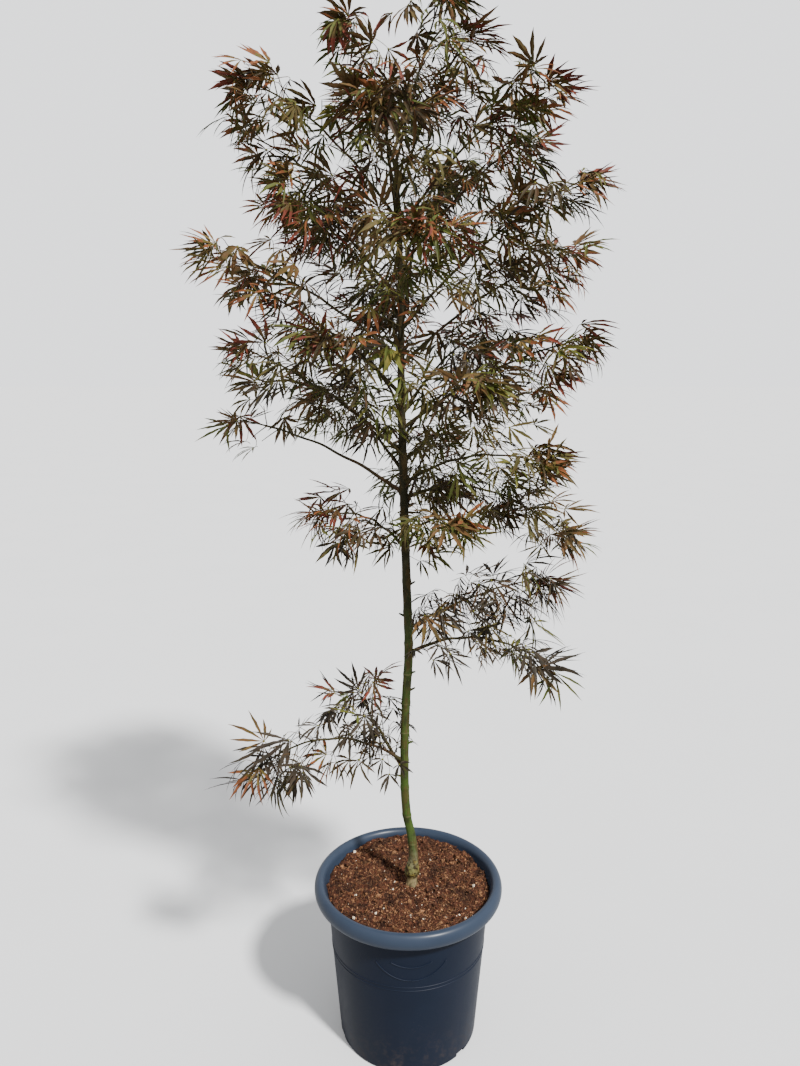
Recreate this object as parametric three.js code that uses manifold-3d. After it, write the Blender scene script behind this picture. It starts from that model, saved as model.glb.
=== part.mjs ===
// A potted Japanese maple with narrow, finger-like leaves.
//
// Millimetres, +Z up. The origin is the middle of the pot's flat underside, and -Y faces the viewer.
// The plant is a pot, its soil, one trunk, the boughs that leave the trunk, and masses of foliage.
// Every bough and mass follows one curve away from the trunk. The bough is the bare first part of
// that curve, and the mass is the rest: a stem, side twigs in pairs and a hand of leaf fingers on
// each twig's end, kept inside the mass's own share of the crown.

import * as THREE from 'three';
import { mergeVertices } from 'three/addons/utils/BufferGeometryUtils.js';
import Module from 'manifold-3d';

const wasm = await Module();
wasm.setup();

// What neighbouring solids leave between them
const GAP = 0.3;

// The pot: a tapered tub with a thick rolled lip
const POT_HEIGHT = 345;
const POT_BASE_RADIUS = 144;
const POT_TOP_RADIUS = 168;
const POT_WALL = 4;
const POT_FLOOR = 5;
const POT_CORNER = 5;
const LIP_RADIUS = 195;
const LIP_HEIGHT = 34;
const LIP_WIDTH = 23;
const POT_SIDES = 40;
const SLOTS = 6;
const SLOT_WIDTH = 24;
const SLOT_HEIGHT = 9;
const SLOT_DEPTH = 14;

// The soil, a low mound inside the wall
const SOIL_TOP = 324;
const SOIL_DROP = 3;
const SOIL_FLAT = 120;

// The trunk: where its middle runs and how thick it is, from the flat cut at the soil to the fork
const TRUNK_SIDES = 10;
const TRUNK = [
  { z: SOIL_TOP + GAP, x: 8, y: 0, radius: 13 },
  { z: 331, x: 8, y: 0, radius: 11.4 },
  { z: 342, x: 8, y: 0, radius: 11 },
  { z: 350, x: 8, y: 0, radius: 14 },
  { z: 362, x: 8, y: 0, radius: 14.5 },
  { z: 374, x: 10, y: 0, radius: 11.5 },
  { z: 390, x: 11, y: 1, radius: 9.6 },
  { z: 415, x: 9, y: 2, radius: 9.1 },
  { z: 444, x: 5, y: 3, radius: 8.9 },
  { z: 474, x: -2, y: 4, radius: 8.8 },
  { z: 503, x: -5, y: 4, radius: 8.8 },
  { z: 610, x: -8, y: 0, radius: 8.7 },
  { z: 734, x: -5, y: -3, radius: 8.6 },
  { z: 838, x: 0, y: -2, radius: 8.6 },
  { z: 941, x: -3, y: 2, radius: 8.4 },
  { z: 1060, x: -7, y: 4, radius: 8.2 },
  { z: 1195, x: -11, y: 2, radius: 7.8 },
  { z: 1372, x: -15, y: -3, radius: 6.8 },
  { z: 1505, x: -15, y: -3, radius: 5.8 },
  { z: 1677, x: -21, y: 2, radius: 4.6 },
  { z: 1743, x: -24, y: 2, radius: 4 },
];

const FORK_HEIGHT = TRUNK.at(-1).z;

// Limbs and twigs
const BOUGH_SIDES = 5;
const STEM_SIDES = 3;
const BOUGH_ROOT_RADIUS = 4.2;
const BOUGH_TIP_RADIUS = 2.7;
const STEM_TIP_RADIUS = 1.6;
const TWIG_RADIUS = 0.9;
const STEP = 55;
const SWAY = 12;

// Foliage
const SPACE = 140;
const CLEAR = 5;
const PAIR_STEP = 55;
const TWIG_LENGTH = 48;
const TWIG_SHARES = [1, 0.7, 0.4];
const TWIG_SHRINK = 0.35;
const TWIG_SPREAD = 58;
const SPREAD_SWING = 12;
const PAIR_TURN = 75;
const TURN_SWING = 25;
const TIP_LENGTH = 24;
const TIP_OVERLAP = 6;
const FINGER = 98;
const FINGER_SHARES = [1, 0.8, 0.62, 0.48];
const PALM = 15;
const PALM_BACK = 5;
const BACK_TURN = 50;
const LEAF_THICKNESS = 3.2;
const LEAF_DROOP = 0.3;
const FINGERS = [
  { turn: -82, share: 0.62 },
  { turn: -40, share: 0.88 },
  { turn: 0, share: 1 },
  { turn: 40, share: 0.88 },
  { turn: 82, share: 0.62 },
];
const LEAF_TILT = 0.55;
const LEAST_DIP = -0.1;
const MOST_DIP = 0.5;
const ROOT_OVERLAP = 3;
const SEED = 20451;

// The crown, from the lowest shoots up. height is where the curve leaves the trunk and heading is
// its compass angle from +X towards +Y. reach and rise lead to the far end of the mass's stem, and
// arch lifts the middle of the curve. bare is the share of the curve that is a bough without leaves,
// and where it is 0 the mass grows from the trunk itself.
const CROWN = [
  { name: 'low_left', height: 600, heading: 190, reach: 268, rise: 30, arch: 52, bare: 0.16 },
  { name: 'low_left_rising', height: 578, heading: 166, reach: 130, rise: 215, arch: -10, bare: 0.5 },
  { name: 'low_right', height: 832, heading: -14, reach: 225, rise: 25, arch: 30, bare: 0.3 },
  { name: 'low_right_upper', height: 882, heading: 10, reach: 235, rise: 85, arch: 16, bare: 0.12 },
  { name: 'front_low', height: 1030, heading: -64, reach: 150, rise: 95, arch: 20, bare: 0 },
  { name: 'left_low', height: 1042, heading: 202, reach: 128, rise: 78, arch: 20, bare: 0.16 },
  { name: 'right_hanging', height: 1140, heading: 4, reach: 275, rise: -45, arch: 42, bare: 0.26 },
  { name: 'back_low', height: 1110, heading: 76, reach: 205, rise: 110, arch: 20, bare: 0.2 },
  { name: 'right_low', height: 1168, heading: -24, reach: 232, rise: 60, arch: 25, bare: 0.22 },
  { name: 'left_thin', height: 1150, heading: 172, reach: 285, rise: 130, arch: 18, bare: 0.36 },
  { name: 'right_lower', height: 1210, heading: 22, reach: 258, rise: 125, arch: 20, bare: 0.2 },
  { name: 'back_left_low', height: 1190, heading: 130, reach: 225, rise: 140, arch: 20, bare: 0.2 },
  { name: 'left_lower', height: 1225, heading: 196, reach: 255, rise: 178, arch: 15, bare: 0.2 },
  { name: 'front_right', height: 1250, heading: -58, reach: 205, rise: 105, arch: 22, bare: 0 },
  { name: 'right_middle', height: 1272, heading: -8, reach: 275, rise: 150, arch: 18, bare: 0.2 },
  { name: 'front_left', height: 1290, heading: -118, reach: 215, rise: 135, arch: 22, bare: 0 },
  { name: 'back_right', height: 1300, heading: 54, reach: 255, rise: 150, arch: 20, bare: 0.2 },
  { name: 'left_middle', height: 1335, heading: 174, reach: 255, rise: 185, arch: 18, bare: 0.18 },
  { name: 'back_middle', height: 1355, heading: 100, reach: 250, rise: 185, arch: 18, bare: 0.2 },
  { name: 'left_far', height: 1400, heading: 199, reach: 290, rise: 165, arch: 20, bare: 0.22 },
  { name: 'right_far', height: 1388, heading: 14, reach: 278, rise: 190, arch: 18, bare: 0.2 },
  { name: 'front_middle', height: 1430, heading: -84, reach: 215, rise: 155, arch: 20, bare: 0 },
  { name: 'right_upper', height: 1452, heading: -20, reach: 262, rise: 210, arch: 18, bare: 0.18 },
  { name: 'back_left', height: 1470, heading: 140, reach: 240, rise: 215, arch: 18, bare: 0.18 },
  { name: 'left_upper', height: 1500, heading: 208, reach: 235, rise: 205, arch: 18, bare: 0.18 },
  { name: 'back_upper', height: 1520, heading: 70, reach: 230, rise: 235, arch: 18, bare: 0.18 },
  { name: 'right_high', height: 1555, heading: 26, reach: 240, rise: 235, arch: 24, bare: 0 },
  { name: 'left_high', height: 1560, heading: 172, reach: 245, rise: 220, arch: 24, bare: 0 },
  { name: 'front_upper', height: 1590, heading: -98, reach: 165, rise: 185, arch: 20, bare: 0 },
  { name: 'right_top', height: 1622, heading: -10, reach: 225, rise: 215, arch: 30, bare: 0 },
  { name: 'left_top', height: 1640, heading: 190, reach: 225, rise: 205, arch: 30, bare: 0 },
  { name: 'back_top', height: 1668, heading: 98, reach: 125, rise: 205, arch: 14, bare: 0 },
  { name: 'front_top', height: 1690, heading: -42, reach: 125, rise: 190, arch: 14, bare: 0 },
  { name: 'leader_left', height: 1715, heading: 200, reach: 70, rise: 205, arch: 10, bare: 0 },
  { name: 'leader', height: 1738, heading: 8, reach: 66, rise: 235, arch: 6, bare: 0 },
];

const UP = new THREE.Vector3(0, 0, 1);
const radians = THREE.MathUtils.degToRad;
const lerp = THREE.MathUtils.lerp;

// A repeatable random number from 0 to 1 for one place in the growth
function chance(...place) {
  let mixed = SEED;
  for (const number of place) {
    mixed = Math.imul((mixed ^ number) >>> 0, 0x9e3779b1) >>> 0;
    mixed = (mixed ^ (mixed >>> 15)) >>> 0;
    mixed = Math.imul(mixed, 0x85ebca6b) >>> 0;
    mixed = (mixed ^ (mixed >>> 13)) >>> 0;
  }
  return mixed / 2 ** 32;
}

// A random number that lies between -1 and 1
const swing = (...place) => 2 * chance(...place) - 1;

// Closed solids

function toSolid(geometry) {
  const bare = geometry.clone();
  bare.deleteAttribute('normal');
  bare.deleteAttribute('uv');
  const merged = mergeVertices(bare, 1e-4);
  const corners = merged.index.array;
  const kept = [];
  for (let i = 0; i < corners.length; i += 3) {
    const [a, b, c] = corners.slice(i, i + 3);
    if (a !== b && b !== c && c !== a) kept.push(a, b, c);
  }
  const vertProperties = new Float32Array(merged.attributes.position.array);
  const build = (triVerts) =>
    new wasm.Manifold(new wasm.Mesh({ numProp: 3, vertProperties, triVerts: new Uint32Array(triVerts) }));
  const solid = build(kept);
  return solid.volume() > 0 ? solid : build(kept.reverse());
}

function toGeometry(solid) {
  const mesh = solid.getMesh();
  const geometry = new THREE.BufferGeometry();
  geometry.setAttribute('position', new THREE.BufferAttribute(mesh.vertProperties, 3));
  geometry.setIndex(new THREE.BufferAttribute(mesh.triVerts, 1));
  const flat = geometry.toNonIndexed();
  flat.computeVertexNormals();
  return flat;
}

// The largest piece of a solid: loose scraps and sealed hollows are left behind
function mainBody(solid) {
  return solid.decompose().reduce((best, piece) => (piece.volume() > best.volume() ? piece : best));
}

// A closed limb through rings of a round section, with flat ends that may face a stated way
function limb(points, radii, sides, facing = {}) {
  const along = points[points.length - 1].clone().sub(points[0]);
  const guide = Math.abs(along.z) > 0.75 * along.length() ? new THREE.Vector3(1, 0, 0) : UP;
  const positions = [];
  points.forEach((point, ring) => {
    const before = points[Math.max(ring - 1, 0)];
    const after = points[Math.min(ring + 1, points.length - 1)];
    let forward = after.clone().sub(before).normalize();
    if (ring === 0 && facing.first) forward = facing.first;
    if (ring === points.length - 1 && facing.last) forward = facing.last;
    const across = guide.clone().cross(forward).normalize();
    const over = forward.clone().cross(across);
    for (let side = 0; side < sides; side += 1) {
      const turn = (2 * Math.PI * side) / sides;
      const spot = point
        .clone()
        .addScaledVector(across, radii[ring] * Math.cos(turn))
        .addScaledVector(over, radii[ring] * Math.sin(turn));
      positions.push(spot.x, spot.y, spot.z);
    }
  });
  const index = [];
  for (let ring = 0; ring + 1 < points.length; ring += 1) {
    for (let side = 0; side < sides; side += 1) {
      const a = ring * sides + side;
      const b = ring * sides + ((side + 1) % sides);
      index.push(a, b, b + sides, a, b + sides, a + sides);
    }
  }
  const last = (points.length - 1) * sides;
  for (let side = 1; side + 1 < sides; side += 1) {
    index.push(0, side + 1, side, last, last + side, last + side + 1);
  }
  const geometry = new THREE.BufferGeometry();
  geometry.setAttribute('position', new THREE.BufferAttribute(new Float32Array(positions), 3));
  geometry.setIndex(index);
  return toSolid(geometry);
}

function lathe(profile) {
  return toSolid(new THREE.LatheGeometry(profile, POT_SIDES).rotateX(Math.PI / 2));
}

// Points of an arc in a lathe profile, angles in degrees from the outward direction
function arc(radius, height, width, rise, from, to, steps) {
  return Array.from({ length: steps + 1 }, (_, step) => {
    const angle = radians(lerp(from, to, step / steps));
    return new THREE.Vector2(radius + width * Math.cos(angle), height + rise * Math.sin(angle));
  });
}

// The pot and its soil

const LIP_BOTTOM = POT_HEIGHT - LIP_HEIGHT;
const LIP_MIDDLE = POT_HEIGHT - LIP_HEIGHT / 2;
const THROAT = LIP_BOTTOM - POT_WALL;

// The pot's inner radius: the tapered wall, then the throat that widens to the lip
function innerRadius(z) {
  const wall = lerp(POT_BASE_RADIUS, POT_TOP_RADIUS, Math.min(z, THROAT) / LIP_BOTTOM) - POT_WALL;
  return z < THROAT ? wall : lerp(wall, LIP_RADIUS - LIP_WIDTH, (z - THROAT) / (LIP_MIDDLE - THROAT));
}

function makePot() {
  const profile = [
    new THREE.Vector2(0, 0),
    ...arc(POT_BASE_RADIUS - POT_CORNER, POT_CORNER, POT_CORNER, POT_CORNER, -90, 0, 2),
    new THREE.Vector2(POT_TOP_RADIUS, LIP_BOTTOM + POT_WALL),
    ...arc(LIP_RADIUS - LIP_WIDTH / 2, LIP_MIDDLE, LIP_WIDTH / 2, LIP_HEIGHT / 2, -75, 180, 7),
    new THREE.Vector2(innerRadius(THROAT), THROAT),
    new THREE.Vector2(innerRadius(POT_FLOOR), POT_FLOOR),
    new THREE.Vector2(0, POT_FLOOR),
  ];
  let pot = lathe(profile);
  for (let slot = 0; slot < SLOTS; slot += 1) {
    const box = new THREE.BoxGeometry(2 * SLOT_DEPTH, SLOT_WIDTH, 2 * SLOT_HEIGHT);
    box.translate(POT_BASE_RADIUS, 0, 0).rotateZ((2 * Math.PI * (slot + 0.3)) / SLOTS);
    pot = pot.subtract(toSolid(box));
  }
  return pot;
}

function makeSoil() {
  const rim = SOIL_TOP - SOIL_DROP;
  return lathe([
    new THREE.Vector2(0, POT_FLOOR + GAP),
    new THREE.Vector2(innerRadius(POT_FLOOR) - GAP, POT_FLOOR + GAP),
    new THREE.Vector2(innerRadius(THROAT) - GAP, THROAT),
    new THREE.Vector2(innerRadius(rim) - 2 * GAP, rim),
    new THREE.Vector2(SOIL_FLAT, SOIL_TOP),
    new THREE.Vector2(0, SOIL_TOP),
  ]);
}

// The trunk

function makeTrunk(extra) {
  const points = TRUNK.map(({ x, y, z }) => new THREE.Vector3(x, y, z));
  points[0].z -= extra;
  points[points.length - 1].z += extra;
  return limb(points, TRUNK.map(({ radius }) => radius + extra), TRUNK_SIDES);
}

// The middle of the trunk at a height, and its radius there
function trunkAt(z) {
  const above = Math.max(1, TRUNK.findIndex((ring) => ring.z >= z));
  const [low, high] = [TRUNK[above - 1], TRUNK[above]];
  const share = (z - low.z) / (high.z - low.z);
  return {
    point: new THREE.Vector3(lerp(low.x, high.x, share), lerp(low.y, high.y, share), z),
    radius: lerp(low.radius, high.radius, share),
  };
}

// The curve of one bough and its mass, t from 0 at the trunk's middle to 1 at the far end
function curvePoint(shoot, t) {
  const angle = radians(shoot.heading);
  const out = new THREE.Vector3(Math.cos(angle), Math.sin(angle), 0);
  const side = new THREE.Vector3(-out.y, out.x, 0);
  const sway = SWAY * swing(shoot.order, 1) * Math.sin(Math.PI * t);
  return trunkAt(shoot.height)
    .point.addScaledVector(out, shoot.reach * t)
    .addScaledVector(side, sway)
    .addScaledVector(UP, shoot.rise * t + 4 * shoot.arch * t * (1 - t));
}

// The way the curve runs at t
function curveForward(shoot, t) {
  return curvePoint(shoot, t + 0.01).sub(curvePoint(shoot, t - 0.01)).normalize();
}

function curveLength(shoot) {
  return Math.hypot(shoot.reach, shoot.rise);
}

// Points of the curve from one t to another, about STEP apart
function curvePoints(shoot, from, to) {
  const steps = Math.max(2, Math.round(((to - from) * curveLength(shoot)) / STEP));
  return Array.from({ length: steps + 1 }, (_, step) => curvePoint(shoot, lerp(from, to, step / steps)));
}

// Radii that shrink evenly from one end to the other
function taper(count, from, to) {
  return Array.from({ length: count }, (_, step) => lerp(from, to, step / (count - 1)));
}

for (const [order, shoot] of CROWN.entries()) {
  shoot.order = order;
  shoot.stemLine = curvePoints(shoot, shoot.bare, 1);
  shoot.boughLine = shoot.bare > 0 ? curvePoints(shoot, 0, shoot.bare) : [];
}

function makeBough(shoot, trunkRoom) {
  const { boughLine } = shoot;
  const radii = taper(boughLine.length, BOUGH_ROOT_RADIUS, BOUGH_TIP_RADIUS);
  const facing = { last: curveForward(shoot, shoot.bare) };
  return limb(boughLine, radii, BOUGH_SIDES, facing).subtract(trunkRoom);
}

// Each mass's own space

function distanceToLine(point, line) {
  let nearest = Infinity;
  const segment = new THREE.Line3();
  const foot = new THREE.Vector3();
  for (let i = 0; i + 1 < line.length; i += 1) {
    segment.set(line[i], line[i + 1]);
    segment.closestPointToPoint(point, true, foot);
    nearest = Math.min(nearest, foot.distanceTo(point));
  }
  return nearest;
}

const TRUNK_LINE = TRUNK.map(({ x, y, z }) => new THREE.Vector3(x, y, z));

// Whether a point is within reach of its own stem, nearer to it than to any other, and off the limbs
function inSpace(point, shoot) {
  const own = distanceToLine(point, shoot.stemLine);
  if (own > SPACE) return false;
  if (distanceToLine(point, TRUNK_LINE) < trunkAt(Math.min(point.z, FORK_HEIGHT)).radius + CLEAR) return false;
  return CROWN.every(
    (other) =>
      (other === shoot || distanceToLine(point, other.stemLine) > own + CLEAR) &&
      (other.bare === 0 || distanceToLine(point, other.boughLine) > BOUGH_ROOT_RADIUS + CLEAR),
  );
}

// The longest share of a finger that stays in the mass's space, or nothing
function fitFinger(place, full, shoot) {
  return FINGER_SHARES.find((size) =>
    [0.5, 1].every((part) => inSpace(place(full * size * part), shoot)),
  );
}

// A twig and the hand of leaf fingers on its end, as one closed solid: a star with a top and a
// bottom point at its palm, whose open back runs on as the three-sided twig down to the root
function makeSprig(root, palm, forward, face, shoot) {
  const side = face.clone().cross(forward).normalize();
  const normal = forward.clone().cross(side).normalize();
  const around = (turn) => (length, drop = LEAF_DROOP * (length / FINGER) * length) =>
    palm
      .clone()
      .addScaledVector(forward, length * Math.cos(radians(turn)))
      .addScaledVector(side, length * Math.sin(radians(turn)))
      .addScaledVector(normal, -drop);
  const rim = [around(FINGERS[0].turn - BACK_TURN)(PALM_BACK, 0)];
  for (const [number, { turn, share }] of FINGERS.entries()) {
    const fit = fitFinger(around(turn), FINGER * share, shoot);
    if (!fit) return null;
    rim.push(around(turn)(FINGER * share * fit));
    const next = FINGERS[number + 1];
    rim.push(next ? around((turn + next.turn) / 2)(PALM, 0) : around(turn + BACK_TURN)(PALM_BACK, 0));
  }
  const top = palm.clone().addScaledVector(normal, LEAF_THICKNESS / 2);
  const bottom = palm.clone().addScaledVector(normal, -LEAF_THICKNESS / 2);
  const left = root.clone().addScaledVector(side, -TWIG_RADIUS).addScaledVector(normal, -TWIG_RADIUS / 2);
  const right = root.clone().addScaledVector(side, TWIG_RADIUS).addScaledVector(normal, -TWIG_RADIUS / 2);
  const ridge = root.clone().addScaledVector(normal, TWIG_RADIUS);
  const corners = [...rim, top, bottom, left, right, ridge];
  const last = rim.length - 1;
  const [topAt, bottomAt, leftAt, rightAt, ridgeAt] = [1, 2, 3, 4, 5].map((step) => last + step);
  const index = [leftAt, ridgeAt, rightAt, 0, topAt, leftAt, leftAt, topAt, ridgeAt];
  index.push(topAt, last, ridgeAt, ridgeAt, last, rightAt);
  index.push(last, bottomAt, rightAt, rightAt, bottomAt, leftAt, leftAt, bottomAt, 0);
  for (let i = 0; i + 1 < rim.length; i += 1) index.push(i, i + 1, topAt, i + 1, i, bottomAt);
  const geometry = new THREE.BufferGeometry();
  const positions = new Float32Array(corners.flatMap((corner) => corner.toArray()));
  geometry.setAttribute('position', new THREE.BufferAttribute(positions, 3));
  geometry.setIndex(index);
  return toSolid(geometry);
}

// The twig and leaf of one place on the stem, on a shorter twig where the full one has no room
function growSprig(grown, root, direction, length, shoot, place) {
  const droop = lerp(LEAST_DIP, MOST_DIP, chance(...place, 7));
  const forward = direction.clone().addScaledVector(UP, -droop).normalize();
  const tilt = new THREE.Vector3(swing(...place, 8), swing(...place, 9), 0);
  const face = UP.clone().addScaledVector(tilt, LEAF_TILT);
  for (const size of TWIG_SHARES) {
    const palm = root.clone().addScaledVector(direction, length * size);
    const sprig = inSpace(palm, shoot) && makeSprig(root, palm, forward, face, shoot);
    if (sprig && grown.every((other) => other.intersect(sprig).volume() < ROOT_OVERLAP)) {
      grown.push(sprig);
      return;
    }
  }
}

function makeMass(shoot, trunkRoom) {
  const { bare, order, stemLine } = shoot;
  const length = curveLength(shoot) * (1 - bare);
  const first = curveForward(shoot, bare);
  const line = [stemLine[0].clone().addScaledVector(first, GAP), ...stemLine.slice(1)];
  const stem = limb(line, taper(line.length, BOUGH_TIP_RADIUS, STEM_TIP_RADIUS), STEM_SIDES, { first });
  const grown = [];
  const pairs = Math.max(3, Math.round(length / PAIR_STEP));
  for (let pair = 0; pair < pairs; pair += 1) {
    const t = bare + ((1 - bare) * (pair + 0.55)) / pairs;
    const root = curvePoint(shoot, t);
    const forward = curveForward(shoot, t);
    const across = forward.clone().cross(UP).normalize();
    const over = across.clone().cross(forward);
    for (const way of [0, 1]) {
      const place = [order, pair, way];
      const roll = radians((pair % 2) * PAIR_TURN + way * 180 + TURN_SWING * swing(...place, 2));
      const spread = radians(TWIG_SPREAD + SPREAD_SWING * swing(...place, 3));
      const direction = forward
        .clone()
        .multiplyScalar(Math.cos(spread))
        .addScaledVector(across, Math.sin(spread) * Math.cos(roll))
        .addScaledVector(over, Math.sin(spread) * Math.sin(roll));
      const vigour = (1 - TWIG_SHRINK * (pair / pairs)) * lerp(0.8, 1.2, chance(...place, 4));
      growSprig(grown, root, direction, TWIG_LENGTH * vigour, shoot, place);
    }
  }
  const last = curvePoint(shoot, 1 - TIP_OVERLAP / curveLength(shoot));
  growSprig(grown, last, curveForward(shoot, 1), TIP_LENGTH, shoot, [order, pairs, 0]);
  return mainBody(wasm.Manifold.union([stem, ...grown]).subtract(trunkRoom));
}

// Materials

const material = (color, roughness) => new THREE.MeshStandardMaterial({ color, roughness, metalness: 0 });
const MATERIALS = {
  pot: material(0x2c3a45, 0.45),
  soil: material(0x4a2f22, 1),
  bark: material(0x4a5a34, 0.7),
  bough: material(0x55602f, 0.7),
  foliage: material(0x5a5a2c, 0.6),
};

// Assembly

const plant = new THREE.Group();

function addNode(name, solid, finish) {
  const mesh = new THREE.Mesh(toGeometry(solid), finish);
  mesh.name = name;
  plant.add(mesh);
}

addNode('pot', makePot(), MATERIALS.pot);
addNode('soil', makeSoil(), MATERIALS.soil);
addNode('trunk', makeTrunk(0), MATERIALS.bark);

const trunkRoom = makeTrunk(GAP);
for (const shoot of CROWN) {
  if (shoot.bare > 0) addNode(`bough_${shoot.name}`, makeBough(shoot, trunkRoom), MATERIALS.bough);
  addNode(`foliage_${shoot.name}`, makeMass(shoot, trunkRoom), MATERIALS.foliage);
}

export default plant;
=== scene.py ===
# %% [markdown]
# A potted Japanese maple, dressed for a picture.
#
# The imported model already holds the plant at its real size: pot, soil, trunk, boughs and masses of
# foliage as plain solids. We load it as a fixed frame, and build every surface that shows round it.
# Its sizes stay in millimetres here, as a gardener would measure them, and each mesh is turned into
# Blender's metres when it is made.

# %% Load the frame
import math
from typing import NamedTuple

import bpy
import numpy as np
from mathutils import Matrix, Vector, noise


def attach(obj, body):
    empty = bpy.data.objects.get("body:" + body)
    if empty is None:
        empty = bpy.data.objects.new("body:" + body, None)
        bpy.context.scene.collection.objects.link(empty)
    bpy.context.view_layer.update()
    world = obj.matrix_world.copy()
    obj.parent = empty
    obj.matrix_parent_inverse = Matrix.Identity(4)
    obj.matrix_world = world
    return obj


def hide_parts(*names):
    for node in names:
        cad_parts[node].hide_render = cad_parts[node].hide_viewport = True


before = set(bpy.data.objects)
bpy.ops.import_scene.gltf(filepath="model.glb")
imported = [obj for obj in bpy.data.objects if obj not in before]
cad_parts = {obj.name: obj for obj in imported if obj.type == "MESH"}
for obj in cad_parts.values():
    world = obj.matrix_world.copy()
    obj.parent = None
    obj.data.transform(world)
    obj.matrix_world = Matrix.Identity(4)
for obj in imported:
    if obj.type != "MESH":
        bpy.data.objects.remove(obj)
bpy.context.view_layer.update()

MM = 0.001
scene = bpy.context.scene

# %% [markdown]
# The camera stands where the photographer stood: at the height of a tall person's chest, looking
# slightly down. A phone's wide lens sees 830 pixels of focal length in a picture 1066 pixels high,
# so the lens in millimetres follows from the share of the sensor that this is.

# %% Camera
PHOTO_HEIGHT = 1066
FOCAL_PIXELS = 830
SENSOR = 36.0
CAMERA_PLACE = (-17, -1561, 1385)
CAMERA_DIP = 11.27

camera_data = bpy.data.cameras.new("camera")
camera_data.sensor_width = SENSOR
camera_data.lens = FOCAL_PIXELS / PHOTO_HEIGHT * SENSOR
camera = bpy.data.objects.new("camera", camera_data)
camera.location = Vector(CAMERA_PLACE) * MM
camera.rotation_euler = (math.radians(90 - CAMERA_DIP), 0, 0)
scene.collection.objects.link(camera)
scene.camera = camera
print("lens", round(camera_data.lens, 2), "mm")

# %% [markdown]
# A shader is a network of nodes. Written out link by link it hides what it computes, so one small
# class wraps a socket and turns Python's own arithmetic into Math nodes: 1 - mask simply works.


# %% Shader arithmetic
class Value:
    """One output socket of a shader, used like a number."""

    def __init__(self, finish, socket):
        self.finish = finish
        self.socket = socket

    def maths(self, operation, first, second):
        settings = {"operation": operation}
        return self.finish.node("ShaderNodeMath", settings, {0: first, 1: second})

    def __add__(self, other):
        return self.maths("ADD", self, other)

    def __radd__(self, other):
        return self.maths("ADD", other, self)

    def __sub__(self, other):
        return self.maths("SUBTRACT", self, other)

    def __rsub__(self, other):
        return self.maths("SUBTRACT", other, self)

    def __mul__(self, other):
        return self.maths("MULTIPLY", self, other)

    def __rmul__(self, other):
        return self.maths("MULTIPLY", other, self)


# %% [markdown]
# A material grows node by node, and most nodes feed the next one. So while it is made it is held by
# a class of its own: node adds any node at all, and the short methods after it are the few that the
# finishes of a plant keep asking for, such as soft clouds, small cells and a fade between two values.


# %% A material while it is made
class Finish:
    """A material while it is made, and the one method that adds its nodes."""

    def __init__(self, name):
        self.material = bpy.data.materials.new(name)
        self.material.use_nodes = True
        self.tree = self.material.node_tree
        self.shader = self.tree.nodes["Principled BSDF"]
        self.place = self.node("ShaderNodeTexCoord", output="Object")

    def feed(self, socket, value):
        if isinstance(value, Value):
            self.tree.links.new(value.socket, socket)
        else:
            socket.default_value = value

    def node(self, kind, settings=None, sockets=None, output=0):
        """Adds a node: its settings first, then its sockets' values or links."""
        made = self.tree.nodes.new(kind)
        for name, value in (settings or {}).items():
            if name == "stops":
                self.set_stops(made.color_ramp, value)
            else:
                setattr(made, name, value)
        for name, value in (sockets or {}).items():
            self.feed(made.inputs[name], value)
        return Value(self, made.outputs[output])

    def set_stops(self, ramp, stops):
        while len(ramp.elements) < len(stops):
            ramp.elements.new(1)
        for element, (position, colour) in zip(ramp.elements, stops):
            element.position = position
            element.color = colour

    def scaled(self, scale):
        """The place on the piece, in metres, multiplied along each axis."""
        sockets = {0: self.place, 1: scale}
        return self.node("ShaderNodeVectorMath", {"operation": "MULTIPLY"}, sockets)

    def cloud(self, scale, detail=3.0, roughness=0.55, place=None):
        """Soft noise from 0 to 1, with scale lumps to the metre."""
        sockets = {"Scale": scale, "Detail": detail, "Roughness": roughness}
        sockets["Vector"] = place or self.place
        return self.node("ShaderNodeTexNoise", None, sockets)

    def cells(self, scale, place=None):
        """Small cells: the distance to the middle of each."""
        sockets = {"Scale": scale, "Vector": place or self.place}
        return self.node("ShaderNodeTexVoronoi", None, sockets, "Distance")

    def fade(self, value, low, high):
        """0 where value is under low, 1 where it is over high, and smooth between."""
        settings = {"interpolation_type": "SMOOTHSTEP"}
        sockets = {"Value": value, "From Min": low, "From Max": high}
        return self.node("ShaderNodeMapRange", settings, sockets)

    def mix(self, share, first, second):
        """One colour turning into another."""
        sockets = {0: share, 6: first, 7: second}
        return self.node("ShaderNodeMix", {"data_type": "RGBA"}, sockets, 2)

    def ramp(self, value, stops):
        return self.node("ShaderNodeValToRGB", {"stops": stops}, {"Fac": value})

    def height(self):
        """The height above the pot's underside, in metres."""
        return self.node("ShaderNodeSeparateXYZ", None, {0: self.place}, "Z")

    def bump(self, relief, depth, strength=1.0):
        """Tilts the surface's light by a relief that is depth millimetres deep."""
        sockets = {"Height": relief, "Distance": depth * MM, "Strength": strength}
        self.feed(self.shader.inputs["Normal"], self.node("ShaderNodeBump", None, sockets))

    def finish(self, **sockets):
        """Feeds the shader's own sockets, named with _ for a space, and returns the material."""
        for name, value in sockets.items():
            self.feed(self.shader.inputs[name.replace("_", " ")], value)
        return self.material


def rgb(red, green, blue):
    """A colour with its alpha, as Blender's sockets take it."""
    return (red, green, blue, 1.0)


# %% [markdown]
# Every piece here is worked out as arrays of points and faces, so one helper turns such arrays into
# a Blender object. A second one says which solids the piece stands for and what it rides on, and
# counts its triangles. The plant doesn't move, so all of it rides on the one body.

# %% Meshes from arrays
BODY = "root"
MOST_TRIANGLES = 200_000


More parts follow.
